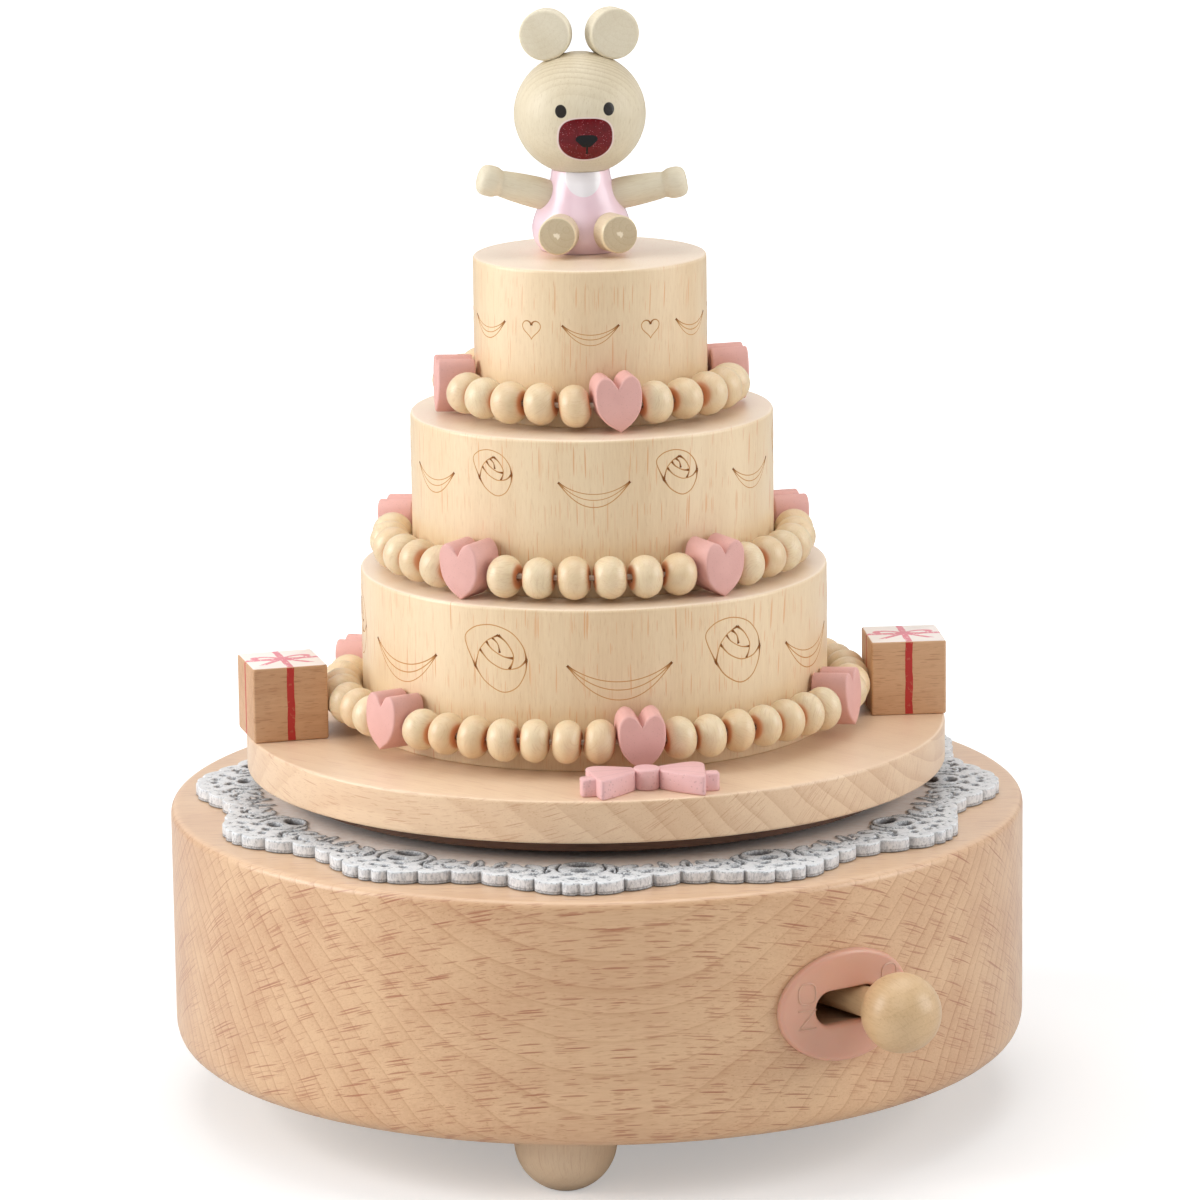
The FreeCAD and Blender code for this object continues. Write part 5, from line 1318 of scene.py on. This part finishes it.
def bear():
    body_low, head_low = span("bear_body")[0], span("bear_head")[0]
    belly = half_width("bear_body")
    neck = head_low[2] - body_low[2] + NECK_RISE
    profile = [(0, 0)] + catmull([(belly * share, z) for share, z in BEAR_BODY], 5)
    profile += [(belly * NECK_SHARE, neck), (0, neck)]
    bear_piece("bear_body_bottle", "bear_body", lathe(profile, 64), np.eye(3), (0, 0, 0),
               painted_bear_look())

    wide, tall = half_width("bear_head"), HEAD_HALF_HEIGHT
    centre_z = head_low[2] - body_low[2] + tall - 0.25
    angles = np.radians(np.linspace(-76, 79, 40))
    ball = [(0, tall * math.sin(angles[0]))]
    ball += [(wide * math.cos(a) ** 0.97, tall * math.sin(a)) for a in angles]
    crown = tall * math.sin(angles[-1])
    ball += [(wide * math.cos(angles[-1]) * 0.8, crown + 0.12), (0, crown + 0.1)]
    bear_piece("bear_head_ball", "bear_head", lathe(ball, 96), np.eye(3), (0, 0, centre_z), bear_face_look(),
               fibre=(0.15, 0.1, 1), pith=(1.0, 6.0, 0))

    ear = [(0, -EAR_HALF, 0), (EAR_RADIUS, -EAR_HALF, 0.45), (EAR_RADIUS, EAR_HALF, 0.45), (0, EAR_HALF, 0)]
    ear = lathe(softened(ear, closed=False), 56)
    arm = lathe([(0.0, -0.8)] + catmull(BEAR_ARM, 4) + [(0.0, 10.05)], 40)
    leg = [(0, -LEG_LENGTH, 0), (LEG_RADIUS - 0.2, -LEG_LENGTH, 0.1), (LEG_RADIUS, 0.3 - LEG_LENGTH, 0.15),
           (LEG_RADIUS, 0, 0.2), (0, 0, 0)]
    points, faces = lathe(softened(leg, closed=False), 48)
    leg = (points @ spin("X", -90).T, faces)
    leg_material = leg_look()
    for side, word in ((-1, "left"), (1, "right")):
        turn = spin("Z", side * EAR_TURN) @ spin("X", 90)
        shift = (side * EAR_SPREAD, 0, centre_z + EAR_RISE)
        bear_piece(f"bear_ear_disc_{word}", f"bear_ear_{word}", ear, turn, shift, bear_wood,
                   pith=(2.0 * side, 3.0, 0))
        turn = spin("Z", -side * ARM_TURN) @ spin("Y", side * (90 - ARM_RISES[word]))
        shift = (side * ARM_PLACE[0], *ARM_PLACE[1:])
        bear_piece(f"bear_arm_peg_{word}", f"bear_arm_{word}", arm, turn, shift, bear_wood,
                   pith=(1.5, 1.0, 0))
        turn = spin("Z", LEG_TURNS[word]) @ spin("X", -LEG_LIFT)
        shift = (side * LEG_SPREAD, 0, LEG_RADIUS + 0.3)
        bear_piece(f"bear_leg_peg_{word}", f"bear_leg_{word}", leg, turn, shift, leg_material,
                   fibre=(0, 1, 0), pith=(1.2, 0, 0.9), sawn_end=LEG_LENGTH)


def lever_knob():
    """The turned knob: a ball on a stem that flares a little where it meets the ball."""
    joint, hinge = joint_place("lever")
    azimuth = LEVER_AZIMUTH + joint["range_deg"][1] / 2
    low, high = span("lever_knob")
    radius, stem = (high[2] - low[2]) / 2, STEM_DIA / 2
    angles = np.radians(np.linspace(-66, 84, 34))
    profile = [(0, STEM_START), (stem - 0.15, STEM_START), (stem, STEM_START + 0.2),
               (stem, STEM_END), (stem + 0.12, KNOB_REACH - radius * 0.93)]
    profile += [(radius * math.cos(a), KNOB_REACH + radius * math.sin(a)) for a in angles]
    profile += [(0, KNOB_REACH + radius * math.sin(angles[-1]) + 0.02)]
    points, faces = lathe(profile, 64)
    turn = spin("Z", azimuth - 90) @ spin("Y", 90)
    shape = (points @ turn.T + hinge, faces)
    obj = piece("lever_knob_ball", shape, "lever", knob_wood, ["lever_knob"], sharp=40.0)
    grow(obj, (0.1, 0, 1), (2.2, 1.2, 0), points, turn @ [0, 0, 1.0])


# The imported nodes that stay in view, or that the drum hides

PACKED_LOOKS = {
    "brass": metal_look("brass", tint(214, 178, 104), tint(188, 148, 78)),
    "steel": metal_look("steel", tint(190, 190, 194), tint(158, 158, 164)),
    "cast_zinc": metal_look("cast_zinc", tint(164, 164, 168), tint(138, 138, 144), 0.5),
    "nylon": plastic_look("nylon", tint(238, 236, 226), tint(228, 226, 214)),
    "white_plastic": plastic_look("white_plastic", tint(242, 242, 238), tint(230, 230, 226)),
    "plywood": plywood_look(),
}


def dress_packed_nodes():
    """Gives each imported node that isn't replaced the material of its slot."""
    slots = {row["node"]: row["material_slot"] for row in frame["record"]["subparts"]}
    for name, obj in frame["nodes"].items():
        look = PACKED_LOOKS.get(slots[name])
        if obj.hide_render or look is None:
            continue
        obj.data.materials.clear()
        obj.data.materials.append(look)


# Making everything

drum()
feet()
doily()
lever_plate()
lever_knob()
# The spacer disc under the turntable, in its dark brown of painted shade.
turned_piece("shaded_spacer_disc", "under_disc", spacer_shade_wood, 0.15, 0.15, (1, 0, 0), (0, 40, 10),
             bore=2.1)
turned_piece("turntable", "turntable_disc", table_wood, 0.45, 0.45, (0.77, -0.64, 0), (16, 19, 85))
for k, word in enumerate(STRING_TIERS):
    turned_piece(f"tier_{word}", f"cake_tier_{word}", tier_wood, 0.5, 0.3, (0.02, 0.03, 1),
                 (40 - 20 * k, 60 + 10 * k, 0))
bead_material, elastic_material = bead_look(), elastic_look()
heart_material = pink_paint("heart_paint", tint(233, 183, 175), tint(219, 166, 158))
for tier in range(len(STRING_TIERS)):
    bead_string(tier, bead_material)
    heart_string(tier, heart_material)
    elastic(tier, elastic_material)
gift_material = gift_look()
for node in GIFT_TURNS:
    gift_box(node, gift_material)
bow(pink_paint("bow_paint", tint(235, 191, 190), tint(223, 175, 174), folds=True))
burnt = burnt_look()
for tier, motifs in enumerate(ORNAMENT):
    ornament(tier, motifs, burnt)
bear()
dress_packed_nodes()


# Stage, light and camera

FLOOR_HALF = 4000.0
FLOOR_COLOUR = (0.8, 0.8, 0.8, 1)
# How far out in metres the floor begins and ends to turn white, and how white it is at the middle
FLOOR_FADE = (0.10, 0.70)
FLOOR_LIFT = 0.35
SOFT_LIGHT = 0.216
# Where each lamp stands in metres, how wide it is, and its power in watts
LAMPS = {
    "left_box": ((-0.74, -0.12, 0.38), 0.5, 5.3),
    "right_box": ((0.74, -0.14, 0.36), 0.5, 3.3),
    "top_box": ((0.0, 0.10, 0.75), 0.6, 2.1),
    "front_fill": ((-0.1, -0.66, 0.62), 0.5, 1.2),
}
LAMP_AIM = Vector((0, 0, 0.06))
# How bright the room shows in reflections, in front and behind, and from where to where it changes
ROOM_FRONT = 0.2
ROOM_BACK = 0.8
ROOM_CHANGE = (-0.75, 0.1)
CAMERA_PLACE = (0.0, -0.7353, 0.2237)
CAMERA_DOWN = 12.17
CAMERA_ROLL = -0.76
CAMERA_LENS = 175.6
CAMERA_SHIFT = 0.0049


def floor():
    """A white floor that keeps the shadow and fades to pure white away from the object."""
    corners = [(x * FLOOR_HALF, y * FLOOR_HALF, 0) for x, y in ((-1, -1), (1, -1), (1, 1), (-1, 1))]
    obj = placed_mesh("floor", (corners, [[0, 1, 2, 3]]))
    material = bpy.data.materials.new("floor_white")
    obj.data.materials.append(material)
    graph = Graph(material)
    far = graph.node("ShaderNodeVectorMath", {0: graph.coordinates("Object")}, "Value", operation="LENGTH")
    fade = graph.part(far, *FLOOR_FADE, FLOOR_LIFT, 1.0, ease="LINEAR")
    lift = graph.node("ShaderNodeLightPath", {}, "Is Camera Ray") * fade
    glow = graph.node("ShaderNodeEmission", {"Strength": lift})
    diffuse = graph.node("ShaderNodeBsdfDiffuse", {0: FLOOR_COLOUR})
    graph.end("ShaderNodeOutputMaterial", graph.node("ShaderNodeAddShader", {0: diffuse, 1: glow}))


def surround():
    """A white world with a soft light of its own, and a darker room in front as reflections show it."""
    world = bpy.data.worlds.new("studio")
    bpy.context.scene.world = world
    graph = Graph(world)
    rays = ("Is Camera Ray", "Is Transmission Ray", "Is Glossy Ray")
    camera_ray, clear_ray, mirror_ray = graph.node("ShaderNodeLightPath", {}, *rays)
    seen = graph.either(camera_ray, clear_ray, mirror_ray)
    back = graph.split(graph.coordinates("Generated"))[1]
    room = graph.part(back, *ROOM_CHANGE, ROOM_FRONT, ROOM_BACK, ease="LINEAR")
    strength = graph.node("ShaderNodeMix", {0: seen, 2: SOFT_LIGHT, 3: graph.either(room, camera_ray)})
    background = graph.node("ShaderNodeBackground", {"Color": (1, 1, 1, 1), "Strength": strength})
    graph.end("ShaderNodeOutputWorld", background)


def stand(name, data, place, turn):
    """Puts a lamp or the camera in its place."""
    obj = bpy.data.objects.new(name, data)
    bpy.context.scene.collection.objects.link(obj)
    obj.location = place
    obj.rotation_mode = "QUATERNION"
    obj.rotation_quaternion = turn
    return obj


def lamps():
    for name, (place, width, power) in LAMPS.items():
        data = bpy.data.lights.new(name, "AREA")
        data.shape = "SQUARE"
        data.size = width
        data.energy = power
        stand(name, data, place, (LAMP_AIM - Vector(place)).to_track_quat("-Z", "Y"))


def camera():
    """The photograph's view: a long lens from the front and a little above, rolled by under a degree."""
    data = bpy.data.cameras.new("camera")
    data.sensor_width = 36.0
    data.lens = CAMERA_LENS
    data.shift_x = CAMERA_SHIFT
    data.clip_start = 0.05
    data.clip_end = 20.0
    tilt = Matrix.Rotation(math.radians(90 - CAMERA_DOWN), 3, "X")
    turn = tilt @ Matrix.Rotation(math.radians(CAMERA_ROLL), 3, "Z")
    bpy.context.scene.camera = stand("camera", data, CAMERA_PLACE, turn.to_quaternion())


floor()
surround()
lamps()
camera()
bpy.context.scene.view_settings.view_transform = "Standard"
